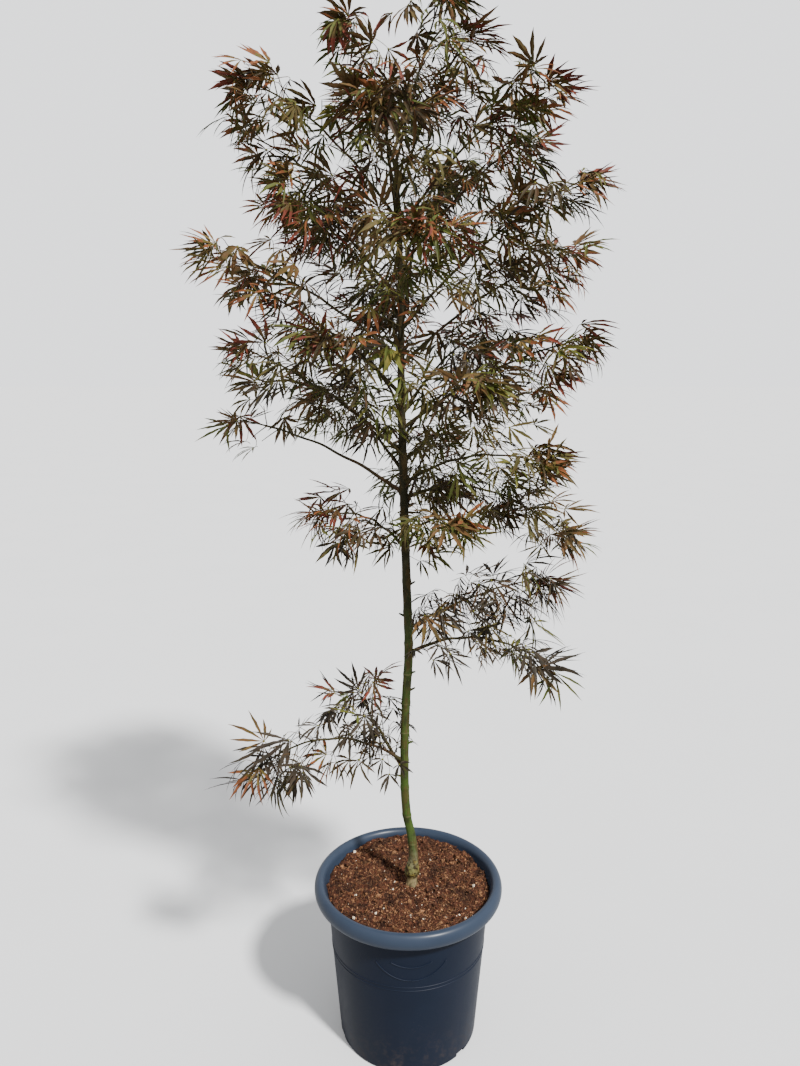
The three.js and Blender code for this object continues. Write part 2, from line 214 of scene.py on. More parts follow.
def make_object(name, points, faces, material, smooth=True):
    """A mesh object from points in millimetres and lists of corners."""
    mesh = bpy.data.meshes.new(name)
    mesh.from_pydata((np.asarray(points) * MM).tolist(), [], faces)
    mesh.polygons.foreach_set("use_smooth", [smooth] * len(mesh.polygons))
    mesh.materials.append(material)
    mesh.update()
    made = bpy.data.objects.new(name, mesh)
    scene.collection.objects.link(made)
    return made


def add_piece(made, nodes=()):
    """Lets a finished object ride on the plant and stand for its solids."""
    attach(made, BODY)
    if nodes:
        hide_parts(*nodes)
    triangles = sum(len(face.vertices) - 2 for face in made.data.polygons)
    assert triangles < MOST_TRIANGLES
    print(f"{made.name}: {triangles} triangles")
    return made


def joined(batches):
    """Several batches of points and faces as one."""
    points, faces, first = [], [], 0
    for batch_points, batch_faces in batches:
        points.append(batch_points)
        for block in batch_faces:
            faces += (np.asarray(block) + first).tolist()
        first += len(batch_points)
    return np.concatenate(points), faces


# %% [markdown]
# The floor is plain and pale, and it isn't part of the plant. A sun lamp with soft edges stands high
# to the right of the camera, where the sun stood, and an even sky fills in. The floor has no gloss at
# all, and the lamp's strength makes it just as bright as the sky, so no horizon shows from any side.

# %% Floor and light
FLOOR_HALF = 60.0
FLOOR_TONES = (rgb(0.35, 0.35, 0.35), rgb(0.37, 0.37, 0.37))
SKY = rgb(0.97, 0.98, 1.0)
SKY_STRENGTH = 1.9
KEY_STRENGTH = 14.3
KEY_SOFTNESS = 6
KEY_TURN = 38
KEY_HEIGHT = 48

floor_finish = Finish("floor")
floor_tone = floor_finish.mix(floor_finish.cloud(2.0), *FLOOR_TONES)
floor_material = floor_finish.finish(Base_Color=floor_tone, Roughness=0.9, Specular_IOR_Level=0.0)
floor_corners = np.array([(-1, -1, 0), (1, -1, 0), (1, 1, 0), (-1, 1, 0)]) * FLOOR_HALF / MM
floor = make_object("floor", floor_corners, [(0, 1, 2, 3)], floor_material)

world = bpy.data.worlds.new("sky")
world.use_nodes = True
background = world.node_tree.nodes["Background"]
background.inputs["Color"].default_value = SKY
background.inputs["Strength"].default_value = SKY_STRENGTH
scene.world = world

key_data = bpy.data.lights.new("key", "SUN")
key_data.energy = KEY_STRENGTH
key_data.angle = math.radians(KEY_SOFTNESS)
key = bpy.data.objects.new("key", key_data)
key.rotation_euler = (math.radians(90 - KEY_HEIGHT), 0, math.radians(KEY_TURN))
scene.collection.objects.link(key)

# %% [markdown]
# The pot is a turned shape, so a lathe makes it: one profile from the middle of its underside, up
# the outer wall, over the rolled lip and down inside. The sizes come first, with the radius of the
# wall at any height, because the arcs on the pot and the soil inside it need that too.

# %% Pot sizes
POT_HEIGHT = 345
POT_BASE_RADIUS = 144
POT_TOP_RADIUS = 168
POT_WALL = 4
POT_FLOOR = 5
POT_CORNER = 5
LIP_RADIUS = 195
LIP_HEIGHT = 34
LIP_WIDTH = 23
LIP_BOTTOM = POT_HEIGHT - LIP_HEIGHT
LIP_MIDDLE = POT_HEIGHT - LIP_HEIGHT / 2
THROAT = LIP_BOTTOM - POT_WALL
POT_SIDES = 180
SLOTS = 6
SLOT_WIDTH = 24
SLOT_HEIGHT = 9
SLOT_DEPTH = 14
SLOT_TURN = 0.3
RING_HEIGHTS = (201, 209)
RING_PROUD = 0.7
RING_HALF = 1.2
SEAM_DROP = 2
SEAM_INSET = 0.3
SHARPEST = 40


def outer_radius(z):
    """The radius of the pot's tapered outer wall."""
    return POT_BASE_RADIUS + (POT_TOP_RADIUS - POT_BASE_RADIUS) * np.asarray(z) / LIP_BOTTOM


def inner_radius(z):
    """The radius inside the pot: the wall, the throat, then the inside of the lip."""
    wall = outer_radius(np.minimum(z, THROAT)) - POT_WALL
    share = np.clip((z - THROAT) / (LIP_MIDDLE - THROAT), 0, 1)
    roll = np.clip((z - LIP_MIDDLE) / (LIP_HEIGHT / 2), 0, 1)
    throat = wall + (LIP_RADIUS - LIP_WIDTH - wall) * share
    return throat + LIP_WIDTH / 2 * (1 - np.sqrt(1 - roll**2))


def arc(radius, height, width, rise, start, end, steps):
    """Points of an arc in the profile, with angles in degrees from the outward direction."""
    turns = np.radians(np.linspace(start, end, steps))
    return list(zip(radius + width * np.cos(turns), height + rise * np.sin(turns)))


print("pot", 2 * LIP_RADIUS, "mm across the lip and", POT_HEIGHT, "mm high")


# %% [markdown]
# The wall carries two fine rings that the mould left, so the profile steps out a little at each.
# Water slots are cut in the foot by a Boolean with six boxes, as a mould's core would. Only edges
# that turn sharply stay sharp, and the rest is shaded smooth.


# %% Pot shape
def pot_profile():
    profile = [(0, 0)]
    profile += arc(POT_BASE_RADIUS - POT_CORNER, POT_CORNER, POT_CORNER, POT_CORNER, -90, 0, 6)
    for height in RING_HEIGHTS:
        for step in (-1, -0.5, 0.5, 1):
            z = height + step * RING_HALF
            profile.append((outer_radius(z) + RING_PROUD * (abs(step) < 1), z))
    profile.append((POT_TOP_RADIUS - SEAM_INSET, LIP_BOTTOM - SEAM_DROP))
    profile.append((POT_TOP_RADIUS, LIP_BOTTOM + POT_WALL))
    middle = LIP_RADIUS - LIP_WIDTH / 2
    profile += arc(middle, LIP_MIDDLE, LIP_WIDTH / 2, LIP_HEIGHT / 2, -75, 180, 30)
    profile.append((inner_radius(THROAT), THROAT))
    profile.append((inner_radius(POT_FLOOR), POT_FLOOR))
    profile.append((0, POT_FLOOR))
    return np.array(profile)


def lathe(profile, sides):
    """Turns a profile that starts and ends on the axis into a closed mesh."""
    turns = np.linspace(0, 2 * np.pi, sides, endpoint=False)
    inner = profile[1:-1]
    rings = np.empty((len(inner), sides, 3))
    rings[..., 0] = inner[:, :1] * np.cos(turns)
    rings[..., 1] = inner[:, :1] * np.sin(turns)
    rings[..., 2] = inner[:, 1:]
    points = np.concatenate([rings.reshape(-1, 3), [(0, 0, profile[0, 1]), (0, 0, profile[-1, 1])]])
    bottom, top = len(points) - 2, len(points) - 1
    side = np.arange(sides)
    after = (side + 1) % sides
    faces = []
    for ring in range(len(inner) - 1):
        low, high = ring * sides, (ring + 1) * sides
        faces += np.stack([low + side, low + after, high + after, high + side], 1).tolist()
    last = (len(inner) - 1) * sides
    faces += [(bottom, b, a) for a, b in zip(side.tolist(), after.tolist())]
    faces += [(top, last + a, last + b) for a, b in zip(side.tolist(), after.tolist())]
    return points, faces


BOX_CORNERS = np.array([(x, y, z) for x in (-1, 1) for y in (-1, 1) for z in (-1, 1)])
BOX_FACES = [(0, 1, 3, 2), (4, 6, 7, 5), (0, 4, 5, 1), (2, 3, 7, 6), (0, 2, 6, 4), (1, 5, 7, 3)]


def slot_boxes():
    """The six boxes that the water slots are cut with."""
    size = np.array((SLOT_DEPTH, SLOT_WIDTH / 2, SLOT_HEIGHT))
    batches = []
    for slot in range(SLOTS):
        turn = 2 * math.pi * (slot + SLOT_TURN) / SLOTS
        corners = BOX_CORNERS * size + (POT_BASE_RADIUS, 0, 0)
        x = corners[:, 0] * math.cos(turn) - corners[:, 1] * math.sin(turn)
        y = corners[:, 0] * math.sin(turn) + corners[:, 1] * math.cos(turn)
        batches.append((np.stack([x, y, corners[:, 2]], 1), [BOX_FACES]))
    return joined(batches)


def cut(made, tool):
    """Cuts one object by another, and throws the tool away."""
    modifier = made.modifiers.new("cut", "BOOLEAN")
    modifier.operation = "DIFFERENCE"
    modifier.solver = "EXACT"
    modifier.object = tool
    graph = bpy.context.evaluated_depsgraph_get()
    made.data = bpy.data.meshes.new_from_object(made.evaluated_get(graph))
    made.modifiers.clear()
    bpy.data.objects.remove(tool)


# %% [markdown]
# The pot is moulded plastic, coloured all through in a dark blue-grey. Its lip is painted paler as
# painted light falling on its top, and it has a soft shine, so the height picks the colour and a thin
# coat lies on the lip alone. Handling polishes the wall in places and dust dulls it low down: one
# noise varies tone and roughness, another lets brown dust and specks show, and a fine bump gives the
# moulded grain.

# %% Pot finish
def pot_finish():
    pot = Finish("pot_plastic")
    wear = pot.cloud(14, 5)
    grime = pot.cloud(60, 6, 0.7)
    low = 1 - pot.fade(pot.height(), 0.0, 0.12)
    dust = low * pot.fade(grime, 0.45, 0.8) * 0.25
    specks = pot.fade(pot.cells(260), 0.16, 0.06) * pot.fade(wear, 0.5, 0.65) * 0.3
    wall = pot.mix(wear, rgb(0.002, 0.0035, 0.0075), rgb(0.0035, 0.0055, 0.0115))
    # Painted light: the lip's paler tone stands for light falling on its top.
    lit_lip_tone = pot.mix(wear, rgb(0.0085, 0.0128, 0.0215), rgb(0.0145, 0.0205, 0.032))
    lip = pot.fade(pot.height(), 0.306, 0.316)
    plastic = pot.mix(lip, wall, lit_lip_tone)
    dusty = pot.mix(dust, plastic, rgb(0.07, 0.05, 0.035))
    speckled = pot.mix(specks, dusty, rgb(0.09, 0.07, 0.05))
    pot.bump(pot.cloud(900, 2) + wear * 2, 0.12, 0.6)
    return pot.finish(
        Base_Color=speckled,
        Roughness=0.4 + wear * 0.16 + dust * 0.5,
        Specular_IOR_Level=0.06,
        Coat_Weight=lip * 0.11,
        Coat_Roughness=0.28,
    )


pot_material = pot_finish()
pot_object = make_object("pot_body", *lathe(pot_profile(), POT_SIDES), pot_material)
cut(pot_object, make_object("slots", *slot_boxes(), pot_material))
pot_object.data.polygons.foreach_set("use_smooth", [True] * len(pot_object.data.polygons))
pot_object.data.set_sharp_from_angle(angle=math.radians(SHARPEST))
add_piece(pot_object, ["pot"])

# %% [markdown]
# Many things on this plant are thin rods: the raised arcs on the pot, roots in the soil, twigs and
# leaf stalks. One function makes any number of them at once. It takes an array with the same number
# of rings for each rod, lays a circle of points round each ring, and caps both ends. The circle
# needs a guide that isn't along the rod: straight up, or sideways for a rod that is nearly upright.


# %% Rods
NEARLY_UPRIGHT = 0.75


def unit(vectors):
    return vectors / np.linalg.norm(vectors, axis=-1, keepdims=True)


def rods(lines, radii, sides):
    """Closed rods along lines, an array of rods by rings by 3, with a radius for each ring."""
    forward = unit(np.gradient(lines, axis=1))
    upright = np.abs(forward[:, :1, 2:]) > NEARLY_UPRIGHT
    guide = np.where(upright, (1.0, 0, 0), (0, 0, 1.0))
    across = unit(np.cross(guide, forward))
    over = np.cross(forward, across)
    turn = 2 * np.pi * np.arange(sides) / sides
    circle = np.cos(turn)[:, None] * across[:, :, None] + np.sin(turn)[:, None] * over[:, :, None]
    points = lines[:, :, None] + radii[..., None, None] * circle
    count, rings = lines.shape[:2]
    numbers = np.arange(count * rings * sides).reshape(count, rings, sides)
    low, high = numbers[:, :-1], numbers[:, 1:]
    walls = np.stack([low, np.roll(low, -1, 2), np.roll(high, -1, 2), high], -1)
    return points.reshape(-1, 3), [walls.reshape(-1, 4), numbers[:, 0, ::-1], numbers[:, -1]]


# %% [markdown]
# Under the lip the mould left two plain arcs on the front of the pot. They stand a millimetre
# proud, so they are real rods half sunk in the wall, laid on the cone by their height.

# %% Arcs on the pot
ARC_RADIUS = 87
ARC_MIDDLES = (313, 343)
ARC_SPREADS = (54, 28)
ARC_THICK = 1.3
ARC_CENTRE = 5
ARC_STEPS = 40
ARC_SIDES = 8


def pot_arcs():
    lines = []
    for middle, spread in zip(ARC_MIDDLES, ARC_SPREADS):
        turns = np.radians(np.linspace(-90 - spread, -90 + spread, ARC_STEPS))
        along = ARC_CENTRE + ARC_RADIUS * np.cos(turns)
        z = middle + ARC_RADIUS * np.sin(turns)
        radius = outer_radius(z)
        angle = -np.pi / 2 + along / radius
        lines.append(np.stack([radius * np.cos(angle), radius * np.sin(angle), z], 1))
    return rods(np.array(lines), np.full((len(lines), ARC_STEPS), ARC_THICK), ARC_SIDES)


arcs = make_object("pot_arcs", *joined([pot_arcs()]), pot_material)
add_piece(arcs)

# %% [markdown]
# The soil is a coarse potting mix of bark, peat and coir, red-brown, with white grains of perlite.
# Its top is never flat: it heaps up at the back and round the trunk, sinks at the rim, and has
# hollows where water ran. A disc of rings is pushed up and down for that form by four noises, each
# with its own size of lump. Its rim goes down into the pot, so that the piece is closed.

# %% Soil surface
SOIL_TOP = 323
SOIL_RADIUS = 166
SOIL_EDGE = 170
SOIL_EDGE_DROP = 3
SOIL_BACK_RISE = 13
SOIL_ROUGH = 6.2
# Each row is the size of the lumps, the layer of the noise that they are read from, and their share.
SOIL_LUMPS = [(42, 3, 1), (16, 9, 0.9), (7, 5, 0.6), (3, 5, 0.25)]
SOIL_RINGS = 90
SOIL_SIDES = 200
SOIL_GAP = 0.4
TRUNK_FOOT = (8, 0)
FOOT_MOUND = 3
FOOT_REACH = 30
FOOT_CALM = 0.6


def soil_height(x, y):
    """The height of the soil's surface at one place."""
    drop = SOIL_EDGE_DROP * (math.hypot(x, y) / SOIL_EDGE) ** 4
    back = SOIL_BACK_RISE * max(0, y / SOIL_EDGE) ** 2
    lumps = sum(part * noise.noise(Vector((x, y, layer)) / size) for size, layer, part in SOIL_LUMPS)
    foot = math.exp(-((math.dist((x, y), TRUNK_FOOT) / FOOT_REACH) ** 2))
    rough = SOIL_ROUGH * (1 - FOOT_CALM * foot)
    return SOIL_TOP - drop + back + FOOT_MOUND * foot + rough * lumps


def soil_surface():
    turns = np.linspace(0, 2 * np.pi, SOIL_SIDES, endpoint=False)
    points = [(0, 0, soil_height(0, 0))]
    for ring in range(1, SOIL_RINGS + 1):
        share = ring / SOIL_RINGS
        for turn in turns:
            x = SOIL_RADIUS * share * math.cos(turn)
            y = SOIL_RADIUS * share * math.sin(turn)
            z = soil_height(x, y)
            grow = 1 + share**8 * ((inner_radius(z) - SOIL_GAP) / SOIL_RADIUS - 1)
            points.append((x * grow, y * grow, z))
    rim = len(points) - SOIL_SIDES
    for turn in turns:
        radius = inner_radius(THROAT) - SOIL_GAP
        points.append((radius * math.cos(turn), radius * math.sin(turn), THROAT))
    side = np.arange(SOIL_SIDES)
    after = (side + 1) % SOIL_SIDES
    faces = [(0, 1 + a, 1 + b) for a, b in zip(side.tolist(), after.tolist())]
    for ring in range(SOIL_RINGS):
        low, high = 1 + ring * SOIL_SIDES, 1 + (ring + 1) * SOIL_SIDES
        faces += np.stack([low + side, high + side, high + after, low + after], 1).tolist()
    faces.append((rim + SOIL_SIDES + side[::-1]).tolist())
    return np.array(points), faces


# %% [markdown]
# Every part of the mix has the same kind of finish with other tones: two colours in small lumps,
# darker in damp patches, very rough and almost without a shine. So one function makes them all.

# %% Soil finishes
SOIL_DARK = rgb(0.006, 0.003, 0.002)
SOIL_RED = rgb(0.055, 0.019, 0.009)
SOIL_TAN = rgb(0.32, 0.165, 0.08)


def soil_finish(name, dark, light, scale):
    """Crumbly earth: small lumps of two tones, darker where it is damp, and very rough."""
    soil = Finish(name)
    tone = soil.fade(soil.cloud(scale, 6, 0.75), 0.32, 0.68)
    grain = soil.cells(scale * 3)
    damp = soil.fade(soil.cloud(32, 4, 0.6), 0.5, 0.62) * 0.6
    colour = soil.mix(damp, soil.mix(tone, dark, light), SOIL_DARK)
    soil.bump(grain + tone, 1.2)
    return soil.finish(Base_Color=colour, Roughness=0.95, Specular_IOR_Level=0.1)


soil_material = soil_finish("soil_mix", SOIL_DARK, SOIL_RED, 160)
add_piece(make_object("soil_top", *soil_surface(), soil_material), ["soil"])


# %% [markdown]
# Thousands of small grains lie on the surface, which is what makes it look like soil rather than
# like felt: crumbs in three tones, flat chips of bark, clods, shreds of coir and perlite. A grain is
# an octahedron with uneven corners, turned at random. Small ones are far more common than large
# ones, so the draw for the size is cubed. Each kind is one mesh, made in one go from arrays.

# %% Crumbs, fibres and perlite
STREWN_RADIUS = 167
FIBRE_REACH = 165
FIBRE_RINGS = 5
FIBRE_SIDES = 3
FIBRE_LENGTHS = (6, 20)
FIBRE_RADII = (0.2, 0.42)
FIBRE_BEND = 0.8
FIBRE_LIFT = 1.2
FIBRE_ARCH = 3
SEATED = (-0.4, 0.8)
CRUMB_UNEVEN = (0.55, 1.15)
CRUMB_WIDTHS = (0.6, 1)
CRUMB_CORNERS = np.array([(1, 0, 0), (-1, 0, 0), (0, 1, 0), (0, -1, 0), (0, 0, 1), (0, 0, -1)], float)
CRUMB_FACES = np.array(
    [(0, 2, 4), (2, 1, 4), (1, 3, 4), (3, 0, 4), (2, 0, 5), (1, 2, 5), (3, 1, 5), (0, 3, 5)]
)


def random_turns(draw, count):
    """Random rotations, as matrices."""
    first = unit(draw.normal(size=(count, 3)))
    second = unit(np.cross(first, draw.normal(size=(count, 3))))
    return np.stack([first, second, np.cross(first, second)], 1)


def strewn(draw, count, depth):
    """Random places on the soil, each a little lower or higher by a share of depth."""
    radius = STREWN_RADIUS * np.sqrt(draw.random(count))
    turn = 2 * np.pi * draw.random(count)
    x, y = radius * np.cos(turn), radius * np.sin(turn)
    z = np.array([soil_height(*place) for place in zip(x, y)])
    return np.stack([x, y, z + depth * draw.uniform(*SEATED, count)], 1)


def crumbs(seed, count, least, most, flatness):
    """Irregular grains, each an uneven octahedron."""
    draw = np.random.default_rng(seed)
    size = least + (most - least) * draw.random(count) ** 3
    shape = CRUMB_CORNERS * draw.uniform(*CRUMB_UNEVEN, (count, 6, 1))
    shape = shape * np.array((1, draw.uniform(*CRUMB_WIDTHS), flatness))
    grains = np.einsum("nij,nkj->nki", random_turns(draw, count), shape) * size[:, None, None] / 2
    points = strewn(draw, count, least)[:, None] + grains
    faces = 6 * np.arange(count)[:, None, None] + CRUMB_FACES
    return points.reshape(-1, 3), [faces.reshape(-1, 3)]


def fibres(seed, count):
    """Thin curved shreds of coir that lie on the soil, with their middles a little raised."""
    draw = np.random.default_rng(seed)
    start = strewn(draw, count, 1)
    heading = 2 * np.pi * draw.random(count)
    length = draw.uniform(*FIBRE_LENGTHS, count)
    bend = draw.normal(0, FIBRE_BEND, count)
    share = np.linspace(0, 1, FIBRE_RINGS)
    angle = heading[:, None] + bend[:, None] * share
    step = length[:, None] / (FIBRE_RINGS - 1)
    x = start[:, :1] + np.cumsum(step * np.cos(angle), 1)
    y = start[:, 1:2] + np.cumsum(step * np.sin(angle), 1)
    keep = np.hypot(x, y).max(1) < FIBRE_REACH
    lift = FIBRE_LIFT + FIBRE_ARCH * draw.random(count)[:, None] * np.sin(np.pi * share)
    ground = np.array([[soil_height(*p) for p in zip(*row)] for row in zip(x[keep], y[keep])])
    lines = np.stack([x[keep], y[keep], ground + lift[keep]], 2)
    radii = draw.uniform(*FIBRE_RADII, (len(lines), 1)) * np.ones((1, FIBRE_RINGS))
    return rods(lines, radii, FIBRE_SIDES)


# Each row is a name, two tones, the seed, how many, the least and the most size, and the flatness.
CRUMB_KINDS = [
    ("soil_crumbs_dark", SOIL_DARK, SOIL_RED, 11, 3000, 2.5, 11, 0.7),
    ("soil_crumbs_red", rgb(0.03, 0.011, 0.005), rgb(0.11, 0.043, 0.02), 12, 3000, 2.2, 9.5, 0.7),
    ("soil_crumbs_tan", SOIL_RED, SOIL_TAN, 13, 3000, 1.6, 6.5, 0.7),
    ("soil_chips", rgb(0.03, 0.013, 0.006), rgb(0.21, 0.1, 0.045), 14, 460, 5.0, 15.0, 0.3),
    ("soil_clods", SOIL_DARK, rgb(0.075, 0.03, 0.014), 15, 300, 7.0, 18.0, 0.75),
]
for name, dark, light, seed, count, least, most, flatness in CRUMB_KINDS:
    material = soil_finish(name, dark, light, 220)
    grains = joined([crumbs(seed, count, least, most, flatness)])
    add_piece(make_object(name, *grains, material, smooth=False))

fibre_material = soil_finish("soil_fibre", rgb(0.05, 0.025, 0.012), rgb(0.22, 0.12, 0.058), 120)
add_piece(make_object("soil_fibres", *joined([fibres(21, 750)]), fibre_material))

perlite_material = soil_finish("perlite", rgb(0.38, 0.3, 0.21), rgb(0.68, 0.59, 0.46), 300)
perlite = joined([crumbs(31, 80, 2.6, 10.5, 0.9)])
add_piece(make_object("perlite_grains", *perlite, perlite_material, smooth=False))

# %% [markdown]
# The trunk is one slender stem, grafted low down. Its middle runs through the same heights and
# places as the solid's, which are written again here, but a smooth curve goes through them instead
# of straight pieces. The boughs and the room for leaves are measured from the same rows.

# %% Trunk sizes
# Each row is a height, the middle there in X and Y, and the radius.
TRUNK = np.array(
    [
        (324.3, 8, 0, 13),
        (331, 8, 0, 11.4),
        (342, 8, 0, 11),
        (350, 8, 0, 14),
        (362, 8, 0, 14.5),
        (374, 10, 0, 11.5),
        (390, 11, 1, 9.6),
        (415, 9, 2, 9.1),
        (444, 5, 3, 8.9),
        (474, -2, 4, 8.8),
        (503, -5, 4, 8.8),
        (610, -8, 0, 8.7),
        (734, -5, -3, 8.6),
        (838, 0, -2, 8.6),
        (941, -3, 2, 8.4),
        (1060, -7, 4, 8.2),
        (1195, -11, 2, 7.8),
        (1372, -15, -3, 6.8),
        (1505, -15, -3, 5.8),
        (1677, -21, 2, 4.6),
        (1743, -24, 2, 4),
    ]
)
TRUNK_SIDES = 28
TRUNK_STEP = 3.5
JOINT_STEP = 62
JOINT_COLLAR = 0.9
JOINT_HALF = 5
JOINTS_FROM = 397
KNOT_HEIGHT = 357
KNOT_HALF = 16
KNOT_ROUGH = 2.6
GNARL_SPOT = 10
GNARL_SIZES = (9, 4)
GNARL_FINE = 0.6
TRUNK_SUNK = 3
RIDGE_DEPTH = 0.22
RIDGE_WIDTH = 9
RIDGE_LENGTH = 60
LUMP_LENGTH = 25


def trunk_at(z):
    """The middle of the trunk at a height, and its radius there."""
    x, y, radius = (np.interp(z, TRUNK[:, 0], TRUNK[:, column]) for column in (1, 2, 3))
    return np.array((x, y, z)), radius


def smooth_through(z, column):
    """A smooth curve through the trunk's rows (Catmull-Rom)."""
    heights, values = TRUNK[:, 0], TRUNK[:, column]
    slopes = np.gradient(values, heights)
    i = np.clip(np.searchsorted(heights, z) - 1, 0, len(heights) - 2)
    span = heights[i + 1] - heights[i]
    t = (z - heights[i]) / span
    low = (1 + 2 * t) * (1 - t) ** 2 * values[i] + t * (1 - t) ** 2 * span * slopes[i]
    high = t**2 * (3 - 2 * t) * values[i + 1] + t**2 * (t - 1) * span * slopes[i + 1]
    return low + high


# %% [markdown]
# Rings of points round that curve are moved in and out by the bark's relief: a gnarled knot where
# the graft healed, a slight collar at every old leaf joint, and fine lengthwise ridges. The ridges
# come from noise that is read round the stem but stretched along it.


# %% Trunk shape
def trunk_surface():
    z = np.arange(TRUNK[0, 0] - TRUNK_SUNK, TRUNK[-1, 0], TRUNK_STEP)
    held = np.maximum(z, TRUNK[0, 0])
    middle = np.stack([smooth_through(held, 1), smooth_through(held, 2), z], 1)
    radius = smooth_through(held, 3)
    joint = (z - KNOT_HEIGHT) / JOINT_STEP
    off = np.abs(joint - np.round(joint)) * JOINT_STEP
    radius = radius + JOINT_COLLAR * np.exp(-((off / JOINT_HALF) ** 2)) * (z > JOINTS_FROM)
    turn = np.linspace(0, 2 * np.pi, TRUNK_SIDES, endpoint=False)
    knot = np.exp(-(((z - KNOT_HEIGHT) / KNOT_HALF) ** 2))
    points = []
    for row in range(len(z)):
        for angle in turn:
            way = Vector((math.cos(angle), math.sin(angle), 0))
            spot = way * GNARL_SPOT + Vector((0, 0, z[row]))
            coarse, fine = (noise.noise(spot / size) for size in GNARL_SIZES)
            gnarl = coarse + GNARL_FINE * fine
            around = (way.x * RIDGE_WIDTH, way.y * RIDGE_WIDTH)
            ridge = noise.noise(Vector((*around, z[row] / RIDGE_LENGTH)))
            lumps = noise.noise(Vector((way.x, way.y, z[row] / LUMP_LENGTH)))
            out = radius[row] + KNOT_ROUGH * knot[row] * gnarl + RIDGE_DEPTH * (ridge + 2 * lumps)
            points.append((middle[row, 0] + out * way.x, middle[row, 1] + out * way.y, z[row]))
    numbers = np.arange(len(points)).reshape(len(z), TRUNK_SIDES)
    low, high = numbers[:-1], numbers[1:]
    walls = np.stack([low, np.roll(low, -1, 1), np.roll(high, -1, 1), high], -1).reshape(-1, 4)
    return np.array(points), [walls, numbers[:1, ::-1], numbers[-1:]]


# %% [markdown]
# A young maple's bark is smooth and green, with pale specks where it breathes. Higher up it darkens
# to brown and almost black: partly brown bark and partly painted shade under the crown. Below the
# graft the rootstock is beige and corky. The colour follows the height through a ramp. Then one
# thing after another is mixed over it, each with its own mask: dark stains, rust, fresh green
# streaks, broken pale scars at the leaf joints, specks from small cells, and on the knot mustard
# patches and painted shade in its clefts.

# %% Trunk finish
def bark_finish():
    bark = Finish("bark")
    height = bark.height()
    stain = bark.cloud(38, 5, 0.6)
    streak = bark.cloud(1, 4, 0.6, bark.scaled((420, 420, 26)))
    share = (height + (stain - 0.5) * 0.05 - 0.32) * 0.7
    tones = bark.ramp(
        share,
        [
            (0.0, rgb(0.13, 0.098, 0.054)),
            (0.014, rgb(0.11, 0.082, 0.042)),
            (0.02, rgb(0.05, 0.04, 0.014)),
            (0.03, rgb(0.075, 0.07, 0.024)),
            (0.04, rgb(0.07, 0.062, 0.036)),
            (0.065, rgb(0.024, 0.031, 0.01)),
            (0.1, rgb(0.017, 0.032, 0.005)),
            (0.22, rgb(0.02, 0.031, 0.005)),
            # Painted shade: from here up the tones darken, partly brown bark and partly shade under the
            # crown.
            (0.36, rgb(0.014, 0.019, 0.005)),
            (0.5, rgb(0.013, 0.012, 0.006)),
            (1.0, rgb(0.012, 0.01, 0.005)),
        ],
    )
    flecks = bark.fade(bark.cells(1, bark.scaled((330, 330, 170))), 0.2, 0.08)
    stained = bark.mix(bark.fade(stain, 0.48, 0.62) * 0.75, tones, rgb(0.01, 0.009, 0.004))
    fresh = bark.fade(height, 1.05, 0.75)
    rust = bark.fade(bark.cloud(1, 5, 0.7, bark.scaled((80, 80, 30))), 0.48, 0.58) * 0.75
    rusty = bark.mix(rust, stained, rgb(0.028, 0.018, 0.006))
    streaked = bark.mix(bark.fade(streak, 0.45, 0.75) * 0.3 * fresh, rusty, rgb(0.036, 0.062, 0.012))
    joints = (height - KNOT_HEIGHT * MM) * (1000 / JOINT_STEP)
    off = bark.node("ShaderNodeMath", {"operation": "PINGPONG"}, {0: joints, 1: 0.5})
    broken = bark.fade(bark.cloud(60, 2), 0.42, 0.6)
    scars = bark.fade(off, 0.03, 0.012) * broken * (0.15 + 0.4 * fresh)
    scarred = bark.mix(scars, streaked, rgb(0.06, 0.055, 0.024))
    pale = bark.mix(flecks * (0.12 + 0.26 * fresh), scarred, rgb(0.09, 0.095, 0.04))
    knotted = bark.fade(height, 0.34, 0.35) * bark.fade(height, 0.4, 0.375)
    # Painted shade: the clefts of the knot are darkened in the colour.
    crevice_shade = bark.fade(bark.cloud(150, 3, 0.6), 0.52, 0.42) * knotted
    mustard = bark.fade(bark.cloud(90, 3), 0.5, 0.58) * knotted * 0.7
    warm = bark.mix(mustard, pale, rgb(0.085, 0.062, 0.012))
    gnarled = bark.mix(crevice_shade * 0.9, warm, rgb(0.01, 0.006, 0.003))
    bark.bump(streak + flecks * 0.7 + crevice_shade, 0.5)
    return bark.finish(Base_Color=gnarled, Roughness=0.6 + stain * 0.3, Specular_IOR_Level=0.06)


bark_material = bark_finish()

# %% [markdown]
# Here and there a side shoot died or was cut away, and left a short stub on the trunk. Each row is
# a height and the direction that the stub points in, as an angle from the right.

# %% Stubs
STUB_PLACES = [(566, 200), (640, -20), (706, 150), (752, 10), (790, -30), (905, 170), (968, 20)]
STUB_LENGTH = 9
STUB_SUNK = 3
STUB_RADIUS = 2.4
STUB_TAPER = np.array((1.3, 1.0, 0.85, 0.6))
STUB_SIDES = 8
STUB_RISE = 0.45


def stubs():
    lines = []
    for height, heading in STUB_PLACES:
        middle, radius = trunk_at(height)
        turn = math.radians(heading)
        out = np.array((math.cos(turn), math.sin(turn), STUB_RISE))
        reach = np.linspace(radius - STUB_SUNK, radius + STUB_LENGTH, len(STUB_TAPER))[:, None]
        lines.append(middle + out * reach)
    radii = STUB_RADIUS * STUB_TAPER * np.ones((len(lines), 1))
    return rods(np.array(lines), radii, STUB_SIDES)


trunk_object = make_object("trunk_bark", *joined([trunk_surface(), stubs()]), bark_material)
add_piece(trunk_object, ["trunk"])

# %% [markdown]
# The crown grows by the same rule as the solids. Each row below is one shoot, a curve away from
# the trunk: the first part is a bare bough, and the rest carries twigs and leaves. A number drawn
# for a place in the growth is worked out from that place alone, by mixing the place's numbers
# together, and the last of them says what the draw is for. So the solids draw the same numbers, and
# most side twigs start where the coarse ones do, though their lengths differ.


